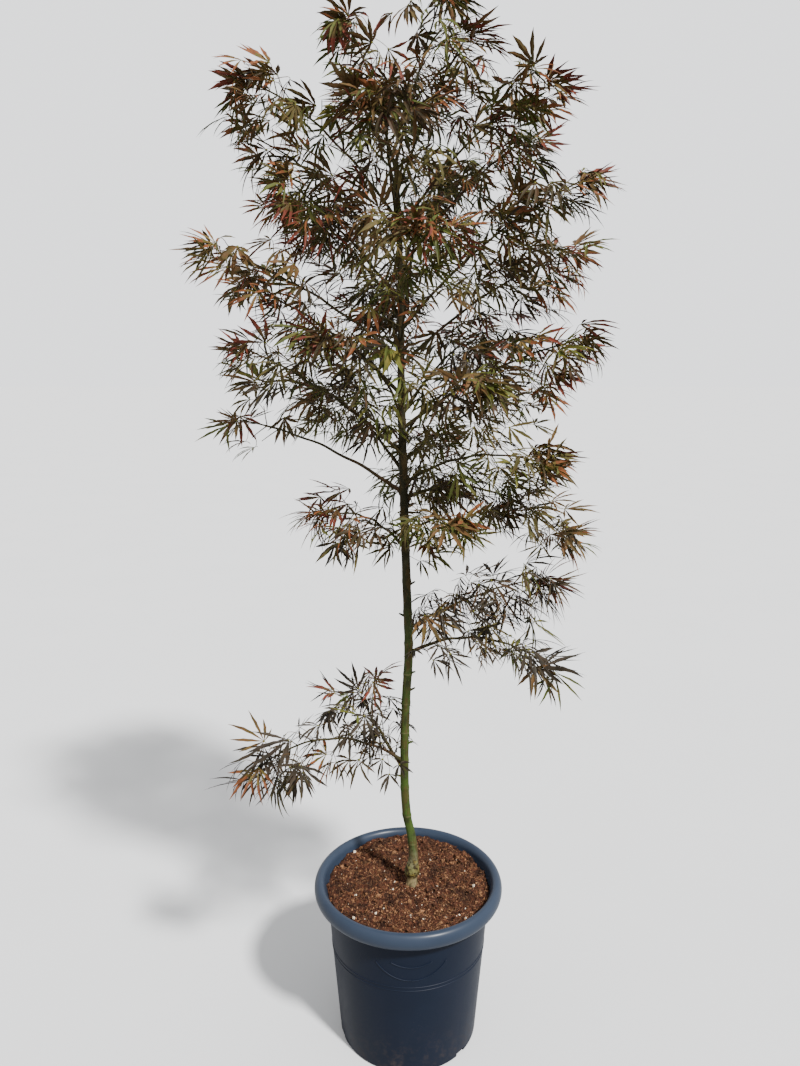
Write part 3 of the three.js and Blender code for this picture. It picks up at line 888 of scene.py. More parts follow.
# %% Crown
class Shoot(NamedTuple):
    """Where a shoot leaves the trunk, its direction, how far and high it goes, and its bare share."""

    name: str
    height: float
    heading: float
    reach: float
    rise: float
    arch: float
    bare: float


CROWN = [
    Shoot("low_left", 600, 190, 268, 30, 52, 0.16),
    Shoot("low_left_rising", 578, 166, 130, 215, -10, 0.5),
    Shoot("low_right", 832, -14, 225, 25, 30, 0.3),
    Shoot("low_right_upper", 882, 10, 235, 85, 16, 0.12),
    Shoot("front_low", 1030, -64, 150, 95, 20, 0),
    Shoot("left_low", 1042, 202, 128, 78, 20, 0.16),
    Shoot("right_hanging", 1140, 4, 275, -45, 42, 0.26),
    Shoot("back_low", 1110, 76, 205, 110, 20, 0.2),
    Shoot("right_low", 1168, -24, 232, 60, 25, 0.22),
    Shoot("left_thin", 1150, 172, 285, 130, 18, 0.36),
    Shoot("right_lower", 1210, 22, 258, 125, 20, 0.2),
    Shoot("back_left_low", 1190, 130, 225, 140, 20, 0.2),
    Shoot("left_lower", 1225, 196, 255, 178, 15, 0.2),
    Shoot("front_right", 1250, -58, 205, 105, 22, 0),
    Shoot("right_middle", 1272, -8, 275, 150, 18, 0.2),
    Shoot("front_left", 1290, -118, 215, 135, 22, 0),
    Shoot("back_right", 1300, 54, 255, 150, 20, 0.2),
    Shoot("left_middle", 1335, 174, 255, 185, 18, 0.18),
    Shoot("back_middle", 1355, 100, 250, 185, 18, 0.2),
    Shoot("left_far", 1400, 199, 290, 165, 20, 0.22),
    Shoot("right_far", 1388, 14, 278, 190, 18, 0.2),
    Shoot("front_middle", 1430, -84, 215, 155, 20, 0),
    Shoot("right_upper", 1452, -20, 262, 210, 18, 0.18),
    Shoot("back_left", 1470, 140, 240, 215, 18, 0.18),
    Shoot("left_upper", 1500, 208, 235, 205, 18, 0.18),
    Shoot("back_upper", 1520, 70, 230, 235, 18, 0.18),
    Shoot("right_high", 1555, 26, 240, 235, 24, 0),
    Shoot("left_high", 1560, 172, 245, 220, 24, 0),
    Shoot("front_upper", 1590, -98, 165, 185, 20, 0),
    Shoot("right_top", 1622, -10, 225, 215, 30, 0),
    Shoot("left_top", 1640, 190, 225, 205, 30, 0),
    Shoot("back_top", 1668, 98, 125, 205, 14, 0),
    Shoot("front_top", 1690, -42, 125, 190, 14, 0),
    Shoot("leader_left", 1715, 200, 70, 205, 10, 0),
    Shoot("leader", 1738, 8, 66, 235, 6, 0),
]
SEED = 20451
WORD = 0xFFFFFFFF
UP = np.array((0.0, 0.0, 1.0))


def chance(*place):
    """A repeatable random number from 0 to 1 for one place in the growth."""
    mixed = SEED
    for number in place:
        mixed = ((mixed ^ number) & WORD) * 0x9E3779B1 & WORD
        mixed ^= mixed >> 15
        mixed = mixed * 0x85EBCA6B & WORD
        mixed ^= mixed >> 13
    return mixed / 2**32


def swing(*place):
    """A random number that lies between -1 and 1."""
    return 2 * chance(*place) - 1


def between(low, high, share):
    """The number that lies a share of the way from low to high."""
    return low + (high - low) * share


print(len(CROWN), "shoots")


# %% [markdown]
# A shoot's curve leads outward and up, arches over on its way and sways a little to the side. The
# stem is drawn along it by a share t, so t = 1 is where the solid's stem ends. Real leaves are
# shorter than the solid's own, so most stems go on a little further to reach as far. Where the
# photo shows a shorter spray, the stem ends before that.

# %% Curves of the shoots
SWAY = 12
OVERSHOOT = 34
NUDGE = 0.01
# The stems that go on by another length past the solid's end, or end before it.
STEM_ENDS = {
    "right_far": 62,
    "right_upper": 62,
    "right_high": 10,
    "left_upper": -40,
    "right_middle": 48,
    "low_left": 46,
    "low_left_rising": -58,
}


def outward(order):
    """The level direction in which a shoot leaves the trunk."""
    angle = math.radians(CROWN[order].heading)
    return np.array((math.cos(angle), math.sin(angle), 0))


def curve_point(order, t):
    """Points of a shoot's curve, t from 0 at the trunk's middle to 1 at the far end."""
    shoot = CROWN[order]
    t = np.asarray(t, float)[..., None]
    out = outward(order)
    side = np.array((-out[1], out[0], 0))
    sway = SWAY * swing(order, 1) * np.sin(np.pi * t)
    lift = shoot.rise * t + 4 * shoot.arch * t * (1 - t)
    return trunk_at(shoot.height)[0] + out * shoot.reach * t + side * sway + UP * lift


def curve_forward(order, t):
    """The direction in which the curve runs at t."""
    return unit(curve_point(order, t + NUDGE) - curve_point(order, t - NUDGE))


def curve_length(shoot):
    return math.hypot(shoot.reach, shoot.rise)


def curve_end(order):
    """The share t at which a stem ends."""
    shoot = CROWN[order]
    return 1 + STEM_ENDS.get(shoot.name, OVERSHOOT) / curve_length(shoot)


stem_lengths = [curve_length(shoot) * curve_end(order) for order, shoot in enumerate(CROWN)]
print("shoots reach", round(min(stem_lengths)), "to", round(max(stem_lengths)), "mm from the trunk")


# %% [markdown]
# Boughs and stems are the curves themselves, thick at the trunk and thin at the tip. A maple's
# shoot isn't a perfect curve, though: it bends a little at each joint. A small zigzag does that,
# fading to nothing at both ends so that the limb still meets the trunk and keeps its reach.

# %% Boughs and stems
BOUGH_ROOT_RADIUS = 4.2
BOUGH_TIP_RADIUS = 2.7
STEM_TIP_RADIUS = 1.3
STEM_ROOT_RADIUS = BOUGH_TIP_RADIUS + 0.5
LEAST_BARE = 0.02
LIMB_RINGS = 34
LIMB_SIDES = 9
ZIGZAG = 1.6
KINKS = 3.5
KINK_SHIFT = 6
KINK_WAY = np.array((0.5, 0.5, 0.7))


def limb_line(order):
    t = np.linspace(0, curve_end(order), LIMB_RINGS)
    line = curve_point(order, t)
    kink = ZIGZAG * np.sin(np.pi * t) * np.sin(2 * np.pi * t * KINKS + KINK_SHIFT * chance(order, 40))
    return line + kink[:, None] * KINK_WAY


def limb_radii(shoot):
    t = np.linspace(0, 1, LIMB_RINGS)
    root = BOUGH_ROOT_RADIUS if shoot.bare > 0 else STEM_ROOT_RADIUS
    places = [0, max(shoot.bare, LEAST_BARE), 1]
    return np.interp(t, places, [root, BOUGH_TIP_RADIUS, STEM_TIP_RADIUS])


def twig_finish():
    twig = Finish("twig_bark")
    tone = twig.cloud(45, 5)
    fine = twig.cloud(1, 3, 0.5, twig.scaled((500, 500, 500)))
    shade = twig.mix(tone, rgb(0.01, 0.009, 0.003), rgb(0.026, 0.021, 0.007))
    red = twig.mix(twig.fade(twig.cloud(12, 2), 0.5, 0.65) * 0.6, shade, rgb(0.028, 0.012, 0.006))
    twig.bump(fine, 0.25)
    return twig.finish(Base_Color=red, Roughness=0.6 + tone * 0.2, Specular_IOR_Level=0.06)


twig_material = twig_finish()
limb_lines = np.array([limb_line(order) for order in range(len(CROWN))])
limb_sizes = np.array([limb_radii(shoot) for shoot in CROWN])
bough_nodes = ["bough_" + shoot.name for shoot in CROWN if shoot.bare > 0]
limbs = make_object("boughs", *joined([rods(limb_lines, limb_sizes, LIMB_SIDES)]), twig_material)
add_piece(limbs, bough_nodes)

# %% [markdown]
# Leaves stand in pairs at the joints of stems and twigs, and new ones open in small bunches at
# their ends. Grown leaves have longer stalks and droop a little, and new ones point more upward. On
# the lowest four shoots half of the leaves hang, and they grow longer away from the trunk. One of
# the four has long leaves near the trunk too. Few leaves survive in the shade round the trunk, and
# thin shoots lack some of them further out as well.

# %% Leaf sizes
OLD, YOUNG = 0, 1
STALK = (20, 42)
YOUNG_STALK = 0.45
STALK_SAG = {OLD: (0.0, 0.5), YOUNG: (-0.15, -0.15)}
LENGTH = {OLD: (50, 76), YOUNG: (54, 78)}
DIPS = {OLD: (-4, 38), YOUNG: (-38, 22)}
HANGING_DIPS = (36, 76)
HANGING = 0.18
LEAF_ROLL = 50
OUTWARD = 0.55
ASTRAY = 0.35
LOW_SHOOTS = 4
LOW_SIZES = (0.6, 1.25)
FULL_INSIDE = {"low_right_upper": 1.15}
LOW_HANGING = 0.5
FULL_OUT = 220
INNER_SHARE = 0.2
OPEN_BELOW = 1180
OPEN_SHARE = 0.6
NEW_SPARED = 0.5
# The share of leaves that a thin shoot keeps in full light.
FULLNESS = {
    "low_left": 0.75,
    "low_left_rising": 0.8,
    "low_right": 0.5,
    "right_low": 0.9,
    "left_thin": 0.15,
    "right_lower": 0.25,
    "left_lower": 0.5,
    "right_middle": 0.8,
    "left_middle": 0.65,
    "left_far": 0.45,
    "left_upper": 0.5,
    "right_high": 0.45,
    "left_high": 0.6,
    "right_top": 0.6,
    "left_top": 0.7,
}

# %% [markdown]
# Everything is first gathered in plain lists: the twigs as lines, and each leaf as where its stalk
# starts and ends, which way it points and faces, how large and how old it is. The meshes come after,
# because arrays are quickest when all leaves of one kind are worked out at once.


# %% Leaf records
class Leaf(NamedTuple):
    """One leaf: its shoot, its stalk's start and end, the ways it points and faces, and the rest."""

    owner: int
    root: np.ndarray
    palm: np.ndarray
    forward: np.ndarray
    face: np.ndarray
    size: float
    age: int
    tint: str


twig_lines = []
leaves = []


def along_way(forward, across, over, spread, roll):
    """A direction that leaves forward by the angle spread, turned round it by roll."""
    aside = across * math.cos(roll) + over * math.sin(roll)
    return forward * math.cos(spread) + aside * math.sin(spread)


def side_frame(forward):
    """The level direction across a limb, and the one over it."""
    across = unit(np.cross(forward, UP))
    return across, np.cross(across, forward)


def openness(point):
    """How far out in the crown a point is: 0 at the trunk's middle, 1 in full light."""
    away = math.dist(point[:2], trunk_at(point[2])[0][:2])
    return min(away / FULL_OUT, 1)


def light(point):
    """How likely a leaf is at a point: less near the trunk, and least inside the full crown."""
    inner = OPEN_SHARE if point[2] < OPEN_BELOW else INNER_SHARE
    return between(inner, 1, openness(point))


def fullness_at(owner, node, age):
    """The share of its leaves that a shoot keeps at a point. It keeps more of its new ones."""
    fullness = between(1, FULLNESS.get(CROWN[owner].name, 1), light(node))
    return between(fullness, 1, NEW_SPARED) if age == YOUNG else fullness


def low_size(owner, node):
    """How much smaller or larger a leaf of the lowest shoots is than others."""
    small, large = LOW_SIZES
    small = FULL_INSIDE.get(CROWN[owner].name, small)
    return between(small, large, openness(node))


def grow_leaf(owner, node, way, age, tint, place, size=1.0):
    """Adds one leaf whose stalk leaves the node in a given way. Thin shoots lack some of them."""
    if chance(*place, 59) > fullness_at(owner, node, age):
        return
    stalk = between(*STALK, chance(*place, 51)) * (YOUNG_STALK if age == YOUNG else 1)
    sag = between(*STALK_SAG[age], chance(*place, 52))
    palm = node + unit(way - UP * sag) * stalk
    astray = np.array((swing(*place, 53), swing(*place, 54), 0))
    flat = unit(way * (1, 1, 0) + OUTWARD * outward(owner) + ASTRAY * astray)
    hanging = LOW_HANGING if owner < LOW_SHOOTS else HANGING
    dips = DIPS[age] if chance(*place, 58) > hanging else HANGING_DIPS
    dip = math.radians(between(*dips, chance(*place, 55)))
    forward = flat * math.cos(dip) - UP * math.sin(dip)
    level = unit(np.cross(UP, forward))
    upward = np.cross(forward, level)
    roll = math.radians(LEAF_ROLL) * swing(*place, 56)
    face = upward * math.cos(roll) + level * math.sin(roll)
    full = between(*LENGTH[age], chance(*place, 57)) * size
    if owner < LOW_SHOOTS:
        full *= low_size(owner, node)
    leaves.append(Leaf(owner, node, palm, forward, face, full, age, tint))


# %% [markdown]
# On the real plant a spray tends to share one tint, so the tint of the grown leaves is drawn once
# for each twig. Olive comes most often. The highest shoots are greener, the lowest four dark and
# dull, and some twigs of other shoots have turned rusty. New leaves are orange, red, bronze or lime.
# On the lowest four shoots they are duller, but two of these have bright ends.

# %% Tints of a spray
OLD_TINTS = ("dark", "olive", "green", "bronze", "umber")
OLD_WEIGHTS = (0.24, 0.43, 0.17, 0.09, 0.07)
LOW_WEIGHTS = (0.32, 0.08, 0.03, 0.02, 0.55)
HIGH_WEIGHTS = (0.12, 0.34, 0.44, 0.07, 0.03)
HIGH_FROM = 25
YOUNG_TINTS = ("orange", "red", "bronze", "lime", "umber")
YOUNG_WEIGHTS = (0.34, 0.2, 0.26, 0.2, 0)
END_WEIGHTS = (0.55, 0.3, 0, 0.15, 0)
LOW_YOUNG_WEIGHTS = (0.1, 0.03, 0.27, 0.1, 0.5)
FRESH_LOW = ("low_right_upper", "low_left_rising")
OUTER_HALF = 0.5
RUSTY_RED = 0.5
# The share of a shoot's twigs and joints whose grown leaves have turned rusty.
RUSTY = {
    "left_low": 0.35,
    "right_low": 0.15,
    "right_lower": 0.15,
    "right_middle": 0.25,
    "left_middle": 0.5,
    "left_far": 0.55,
    "right_far": 0.28,
    "front_middle": 0.3,
    "right_upper": 0.12,
    "back_left": 0.5,
    "left_upper": 0.5,
    "left_high": 0.05,
    "front_upper": 0.25,
    "right_top": 0.8,
    "left_top": 0.1,
    "front_top": 0.45,
    "leader_left": 0.3,
}


def pick(names, weights, share):
    """One of several names, by weight, from a number between 0 and 1."""
    total = sum(weights)
    for name, weight in zip(names, weights):
        share -= weight / total
        if share < 0:
            return name
    return names[-1]


def old_tint(owner, place):
    """The tint of the grown leaves at one place: rusty, or by how high the shoot stands."""
    if chance(*place, 19) < RUSTY.get(CROWN[owner].name, 0):
        return "red" if chance(*place, 18) < RUSTY_RED else "orange"
    weights = LOW_WEIGHTS if owner < LOW_SHOOTS else OLD_WEIGHTS
    if owner >= HIGH_FROM:
        weights = HIGH_WEIGHTS
    return pick(OLD_TINTS, weights, chance(*place, 20))


def young_tint(owner, weights, outness, share):
    """The tint of new leaves: duller on the lowest shoots, apart from the bright ends of two."""
    bright = CROWN[owner].name in FRESH_LOW and outness > OUTER_HALF
    dull = owner < LOW_SHOOTS and not bright
    return pick(YOUNG_TINTS, LOW_YOUNG_WEIGHTS if dull else weights, share)


# %% [markdown]
# A twig is a short curved line. It bears a pair of leaves at an inner joint, a second pair near its
# end, and at the end itself either a bunch of new leaves or one grown leaf. Short twigs have no
# inner pair. The nearer the trunk, the more often a pair or a bunch of new leaves is missing.

# %% Pairs, bunches and twigs
TWIG_BEND = (-0.12, 0.22)
TWIG_POINTS = 6
INNER_JOINT = 2
OUTER_JOINT = 4
LEAST_TWO = 36
LEAF_SPREAD = (48, 66)
LEAF_SWING = 30
OUTER_PAIR_ROLL = 0.9
OUTER_PAIR_SIZE = 0.95
NEW_SHARES = (0.15, 0.6)
BUNCH_SPREAD = (20, 66)
BUNCH_RISE = 0.3
SAME_TINT = 0.65


def grow_pair(owner, node, forward, roll, spread, age, tint, place, size=1.0):
    """Two leaves on opposite sides of a joint."""
    across, over = side_frame(forward)
    for way in (0, 1):
        turned = roll + math.pi * way
        toward = along_way(forward, across, over, spread, turned)
        grow_leaf(owner, node, toward, age, tint, (*place, way), size)


def grow_bunch(owner, node, forward, tint, place, count=2):
    """The new leaves that open together at an end. Some of them are duller than the others."""
    across, over = side_frame(forward)
    other = "umber" if owner < LOW_SHOOTS else "bronze"
    for number in range(count):
        roll = 2 * math.pi * number / count + swing(*place, number, 61)
        spread = math.radians(between(*BUNCH_SPREAD, chance(*place, number, 62)))
        toward = along_way(forward, across, over, spread, roll)
        own = tint if chance(*place, number, 63) < SAME_TINT else other
        grow_leaf(owner, node, toward, YOUNG, own, (*place, 70 + number))


def grow_twig(owner, root, direction, length, outness, place):
    """One side twig: a curved line, two joints with leaves, and its end."""
    tint = old_tint(owner, place)
    fresh = young_tint(owner, YOUNG_WEIGHTS, outness, chance(*place, 21))
    bend = UP * between(*TWIG_BEND, chance(*place, 22)) * length
    share = np.linspace(0, 1, TWIG_POINTS)[:, None]
    line = root + direction * length * share + bend * share**2
    twig_lines.append(line)
    inner, outer, end = line[INNER_JOINT], line[OUTER_JOINT], line[-1]
    roll = math.radians(LEAF_SWING) * swing(*place, 23)
    spread = math.radians(between(*LEAF_SPREAD, chance(*place, 24)))
    if length > LEAST_TWO and chance(*place, 26) < light(inner):
        grow_pair(owner, inner, direction, roll, spread, OLD, tint, (*place, 1))
    if chance(*place, 27) < light(outer) + INNER_SHARE:
        turned = roll + OUTER_PAIR_ROLL
        grow_pair(owner, outer, direction, turned, spread, OLD, tint, (*place, 2), OUTER_PAIR_SIZE)
    if chance(*place, 25) < between(*NEW_SHARES, outness):
        grow_bunch(owner, end, unit(direction + BUNCH_RISE * UP), fresh, (*place, 3))
    else:
        grow_leaf(owner, end, direction, OLD, tint, (*place, 4))


# %% [markdown]
# Twigs leave the stem in pairs, lying level and standing nearly upright by turns. All get a little
# shorter towards the tip, and the upright ones much shorter, so that a spray ends flat. The boughs
# of the first nine shoots have small twigs of their own.

# %% Twigs of boughs and stems
TWIG_SPREAD = 58
SPREAD_SWING = 12
PAIR_TURN = 75
TURN_SWING = 25
TWIG_LENGTH = 48
TWIG_GROWTH = 1.3
TWIG_SHRINK = 0.15
TWIG_VIGOUR = (0.8, 1.2)
FLATTER = 0.55
BOUGH_TWIG = 42
BOUGH_TWIG_STEP = 16
BOUGH_LEAFY_FROM = 0.3
BOUGH_SWING = 0.8


def leaf_bough(owner):
    """Small twigs along a bough, to one side and the other, but none close to the trunk."""
    shoot = CROWN[owner]
    count = round(curve_length(shoot) * shoot.bare / BOUGH_TWIG_STEP)
    for number in range(count):
        place = (owner, number, 9)
        t = shoot.bare * between(BOUGH_LEAFY_FROM, 1, (number + 0.5) / count)
        node, forward = curve_point(owner, t), curve_forward(owner, t)
        across, over = side_frame(forward)
        roll = math.pi * number + BOUGH_SWING * swing(*place, 2)
        direction = along_way(forward, across, over, math.radians(TWIG_SPREAD), roll)
        length = BOUGH_TWIG * between(*TWIG_VIGOUR, chance(*place, 4))
        grow_twig(owner, node, direction, length, 0, place)


def grow_twig_pair(owner, pair, pairs, t):
    """One pair of side twigs. Every second pair is nearly upright, and shorter towards the tip."""
    root, forward = curve_point(owner, t), curve_forward(owner, t)
    across, over = side_frame(forward)
    for way in (0, 1):
        place = (owner, pair, way)
        turned = (pair % 2) * PAIR_TURN + way * 180 + TURN_SWING * swing(*place, 2)
        spread = math.radians(TWIG_SPREAD + SPREAD_SWING * swing(*place, 3))
        direction = along_way(forward, across, over, spread, math.radians(turned))
        vigour = (1 - TWIG_SHRINK * pair / pairs) * between(*TWIG_VIGOUR, chance(*place, 4))
        if pair % 2:
            vigour *= between(1, FLATTER, t)
        grow_twig(owner, root, direction, TWIG_LENGTH * TWIG_GROWTH * vigour, t, place)


# %% [markdown]
# Between two pairs of twigs the stem bears two leaves, and its outer half bears spurs, a short one
# up and a longer one down. The spurs of some shoots reach further, to fill the crown there.

# %% Leaves and spurs of the stem
STEM_LEAF_SPREAD = 62
STEM_LEAF_SWING = 40
SPURS = (18, 38)
SPUR_VIGOUR = (0.7, 1.2)
SPUR_SHARE = 0.55
SPUR_SWING = 45
# How much longer and more frequent a shoot's spurs are, up and down.
SPUR_REACH = {
    "low_right_upper": (1.6, 1.3),
    "right_low": (3, 0.8),
    "right_lower": (0.8, 2),
    "right_middle": (1.8, 1),
    "right_far": (1, 2.5),
}


def grow_spurs(owner, node, forward, outness, place):
    """A short twig up and a longer one down from the stem. About half of all spurs grow."""
    across, over = side_frame(forward)
    reaches = SPUR_REACH.get(CROWN[owner].name, (1, 1))
    for way, (length, longer) in enumerate(zip(SPURS, reaches)):
        spur = (*place, 30 + way)
        if chance(*spur, 5) > SPUR_SHARE * longer:
            continue
        roll = math.radians(90 + way * 180 + SPUR_SWING * swing(*spur, 2))
        direction = along_way(forward, across, over, math.radians(TWIG_SPREAD), roll)
        length *= longer * between(*SPUR_VIGOUR, chance(*spur, 4))
        grow_twig(owner, node, direction, length, outness, spur)


def grow_stem_leaves(owner, pair, t):
    """The stem's own pair of leaves between two pairs of twigs, and its spurs."""
    place = (owner, pair, 7)
    tint = old_tint(owner, place)
    node, forward = curve_point(owner, t), curve_forward(owner, t)
    roll = math.radians(STEM_LEAF_SWING) * swing(*place, 23)
    if chance(*place, 26) < light(node):
        spread = math.radians(STEM_LEAF_SPREAD)
        grow_pair(owner, node, forward, roll, spread, OLD, tint, place)
    if t > OUTER_HALF or CROWN[owner].name in FULL_INSIDE:
        grow_spurs(owner, node, forward, t, place)


# %% [markdown]
# A mass is grown from its bough outward. Two stems are kept bare for longer than the solids' own,
# a choice that the photo doesn't confirm. A last pair of level twigs stands where the solid's stem
# ends and this one goes on, and the stem closes with a pair of green leaves and a larger bunch of
# new ones.

# %% Growth of one mass
PAIR_STEP = 55
LEAST_PAIRS = 2
PAIR_PLACE = 0.55
LEAF_PLACE = 0.05
LEAFY_SHOOTS = 9
BARE_STEMS = {"left_thin": 0.72, "right_far": 0.55}
END_TWIG = 44
END_SPREAD = 48
END_LEAF_SPREAD = 50
END_LEAF_ROLL = 0.4
END_BUNCH = 4


def grow_end_twigs(owner):
    """A last pair of level twigs where the solid's stem ends and this one goes on."""
    root, forward = curve_point(owner, 1), curve_forward(owner, 1)
    across, over = side_frame(forward)
    for way in (0, 1):
        place = (owner, way, 8)
        roll = math.radians(way * 180 + TURN_SWING * swing(*place, 2))
        direction = along_way(forward, across, over, math.radians(END_SPREAD), roll)
        length = END_TWIG * between(*TWIG_VIGOUR, chance(*place, 4))
        grow_twig(owner, root, direction, length, 1, place)


def grow_mass(owner):
    """The twigs and leaves of one mass."""
    shoot = CROWN[owner]
    leafy = min(curve_end(owner), 1)
    pairs = max(LEAST_PAIRS, round(curve_length(shoot) * (leafy - shoot.bare) / PAIR_STEP))
    if owner < LEAFY_SHOOTS:
        leaf_bough(owner)
    for pair in range(pairs):
        t = between(shoot.bare, leafy, (pair + PAIR_PLACE) / pairs)
        if t < BARE_STEMS.get(shoot.name, 0):
            continue
        grow_twig_pair(owner, pair, pairs, t)
        grow_stem_leaves(owner, pair, between(shoot.bare, leafy, (pair + LEAF_PLACE) / pairs))
    if curve_end(owner) > 1:
        grow_end_twigs(owner)
    place = (owner, pairs, 0)
    fresh = young_tint(owner, END_WEIGHTS, 1, chance(*place, 21))
    end, forward = curve_point(owner, curve_end(owner)), curve_forward(owner, leafy)
    spread = math.radians(END_LEAF_SPREAD)
    grow_pair(owner, end, forward, END_LEAF_ROLL, spread, OLD, "green", place)
    grow_bunch(owner, end, forward, fresh, place, END_BUNCH)


for owner in range(len(CROWN)):
    grow_mass(owner)
print(len(twig_lines), "twigs and", len(leaves), "leaves before pruning")

# %% [markdown]
# Each mass keeps to its own share of the crown, as it does in the solids: a leaf must stay within
# reach of its own stem, must not sit far inside a neighbour's share, and must clear the trunk. The
# test measures every leaf against every stem at once. NumPy does that with one large array, which
# is why the stems are first cut into straight pieces.

# %% Room for leaves
SPACE = 140
STEP = 55
MINGLE = 30
TRUNK_CLEAR = 8
PALM_REACH = 25


def curve_pieces(order, start, end):
    """The straight pieces of a curve, as the solids have them."""
    steps = max(2, round((end - start) * curve_length(CROWN[order]) / STEP))
    line = curve_point(order, np.linspace(start, end, steps + 1))
    return line[:-1], line[1:]


stem_pieces = [curve_pieces(order, shoot.bare, 1) for order, shoot in enumerate(CROWN)]
stem_starts = np.concatenate([starts for starts, _ in stem_pieces])
stem_ends = np.concatenate([ends for _, ends in stem_pieces])
stem_first = np.cumsum([0] + [len(starts) for starts, _ in stem_pieces])[:-1]
trunk_line = TRUNK[:, [1, 2, 0]]


def distances(points, starts, ends):
    """How far each point is from each straight piece: one row a point, one column a piece."""
    along = ends - starts
    share = np.einsum("psk,sk->ps", points[:, None] - starts, along)
    share = np.clip(share / np.einsum("sk,sk->s", along, along), 0, 1)
    return np.linalg.norm(points[:, None] - starts - share[..., None] * along, axis=2)


def has_room(points, owners, mingle):
    """Whether each point lies in its owner's share of the crown and off the trunk."""
    to_stems = np.minimum.reduceat(distances(points, stem_starts, stem_ends), stem_first, axis=1)
    own = to_stems[np.arange(len(points)), owners]
    to_trunk = distances(points, trunk_line[:-1], trunk_line[1:]).min(1)
    radius = np.interp(points[:, 2], TRUNK[:, 0], TRUNK[:, 3])
    near = own < SPACE
    fair = to_stems.min(1) > own - mingle
    return near & fair & (to_trunk > radius + TRUNK_CLEAR)


owners = np.array([leaf.owner for leaf in leaves])
palms = np.array([leaf.palm for leaf in leaves])
tips = palms + np.array([leaf.forward * leaf.size for leaf in leaves])
kept = has_room(palms, owners, MINGLE) & has_room(tips, owners, MINGLE + PALM_REACH)
leaves = [leaf for leaf, keep in zip(leaves, kept) if keep]
print(len(leaves), "leaves have room")

# %% [markdown]
# A leaf of this maple is a hand of narrow fingers, cut almost to the stalk. Each finger is
# lance-shaped: narrow at its base, widest near the middle, with a long fine tip and small teeth.
# It is folded along its rib, droops, and bends a little sideways like a sickle. So a finger is a
# strip of rings with three points each: left edge, rib, right edge. Two leaves in five lack the
# outermost two fingers. All fingers of one tint are worked out together as arrays.

# %% Finger outline
FINGER_TURNS = np.radians([-96, -63, -31, 0, 31, 63, 96])
FINGER_SHARES = np.array([0.4, 0.76, 0.94, 1.0, 0.94, 0.76, 0.4])
RING_PLACES = np.array([0, 0.1, 0.22, 0.34, 0.46, 0.58, 0.71, 0.85, 1])
RING_WIDTHS = np.array([0.14, 0.3, 0.58, 0.84, 1, 0.98, 0.78, 0.4, 0])
TEETH = 0.13
FOLD = math.radians(24)
WIDTH = {OLD: (2.5, 3.6), YOUNG: (3.8, 5.2)}
FAN = {OLD: (0.78, 1.1), YOUNG: (0.74, 1.08)}
CURL = {OLD: (0.1, 0.8), YOUNG: (-0.15, 0.55)}
LOW_SLIM = 0.9
SICKLE = 0.2
INWARD = 0.12
TURN_ASTRAY = 0.07
LIFT_ASTRAY = 0.16
FINGER_LENGTHS = (0.86, 1.06)
FINGER_WIDTHS = (0.85, 1.1)
SEVEN_FINGERS = 0.6
CURL_LATE = 1.3


def finger_arrays(chosen, draw):
    """Where each finger starts, its frame, length, half width, curl and sideways bend."""
    count = len(chosen)
    hands = (count, len(FINGER_TURNS))
    ages = np.array([leaf.age for leaf in chosen])
    forward = np.array([leaf.forward for leaf in chosen])
    face = np.array([leaf.face for leaf in chosen])
    side = np.cross(face, forward)
    palm = np.array([leaf.palm for leaf in chosen])
    size = np.array([leaf.size for leaf in chosen])

    def drawn(table):
        """A random number for each leaf, from the range for its age."""
        low, high = (np.where(ages == OLD, table[OLD][i], table[YOUNG][i]) for i in (0, 1))
        return low + (high - low) * draw.random(count)

    turns = FINGER_TURNS * drawn(FAN)[:, None] + draw.normal(0, TURN_ASTRAY, hands)
    lengths = size[:, None] * FINGER_SHARES * draw.uniform(*FINGER_LENGTHS, hands)
    slim = np.array([LOW_SLIM if leaf.owner < LOW_SHOOTS else 1 for leaf in chosen])
    widths = (slim * drawn(WIDTH))[:, None] * FINGER_SHARES**0.5 * draw.uniform(*FINGER_WIDTHS, hands)
    curls = drawn(CURL)[:, None] + draw.normal(0, LIFT_ASTRAY, hands)
    lifts = draw.normal(0, LIFT_ASTRAY, hands)
    sickles = draw.normal(0, SICKLE, hands) - INWARD * turns
    turn, lift = turns[..., None], lifts[..., None]
    flat = forward[:, None] * np.cos(turn) + side[:, None] * np.sin(turn)
    ahead = flat * np.cos(lift) + face[:, None] * np.sin(lift)
    aside = unit(np.cross(face[:, None], ahead))
    above = np.cross(ahead, aside)
    keep = np.ones(hands, bool)
    keep[:, (0, -1)] = draw.random((count, 1)) < SEVEN_FINGERS
    start = np.broadcast_to(palm[:, None], ahead.shape)
    arrays = (start, ahead, aside, above, lengths, widths, curls, sickles)
    return [values[keep] for values in arrays]


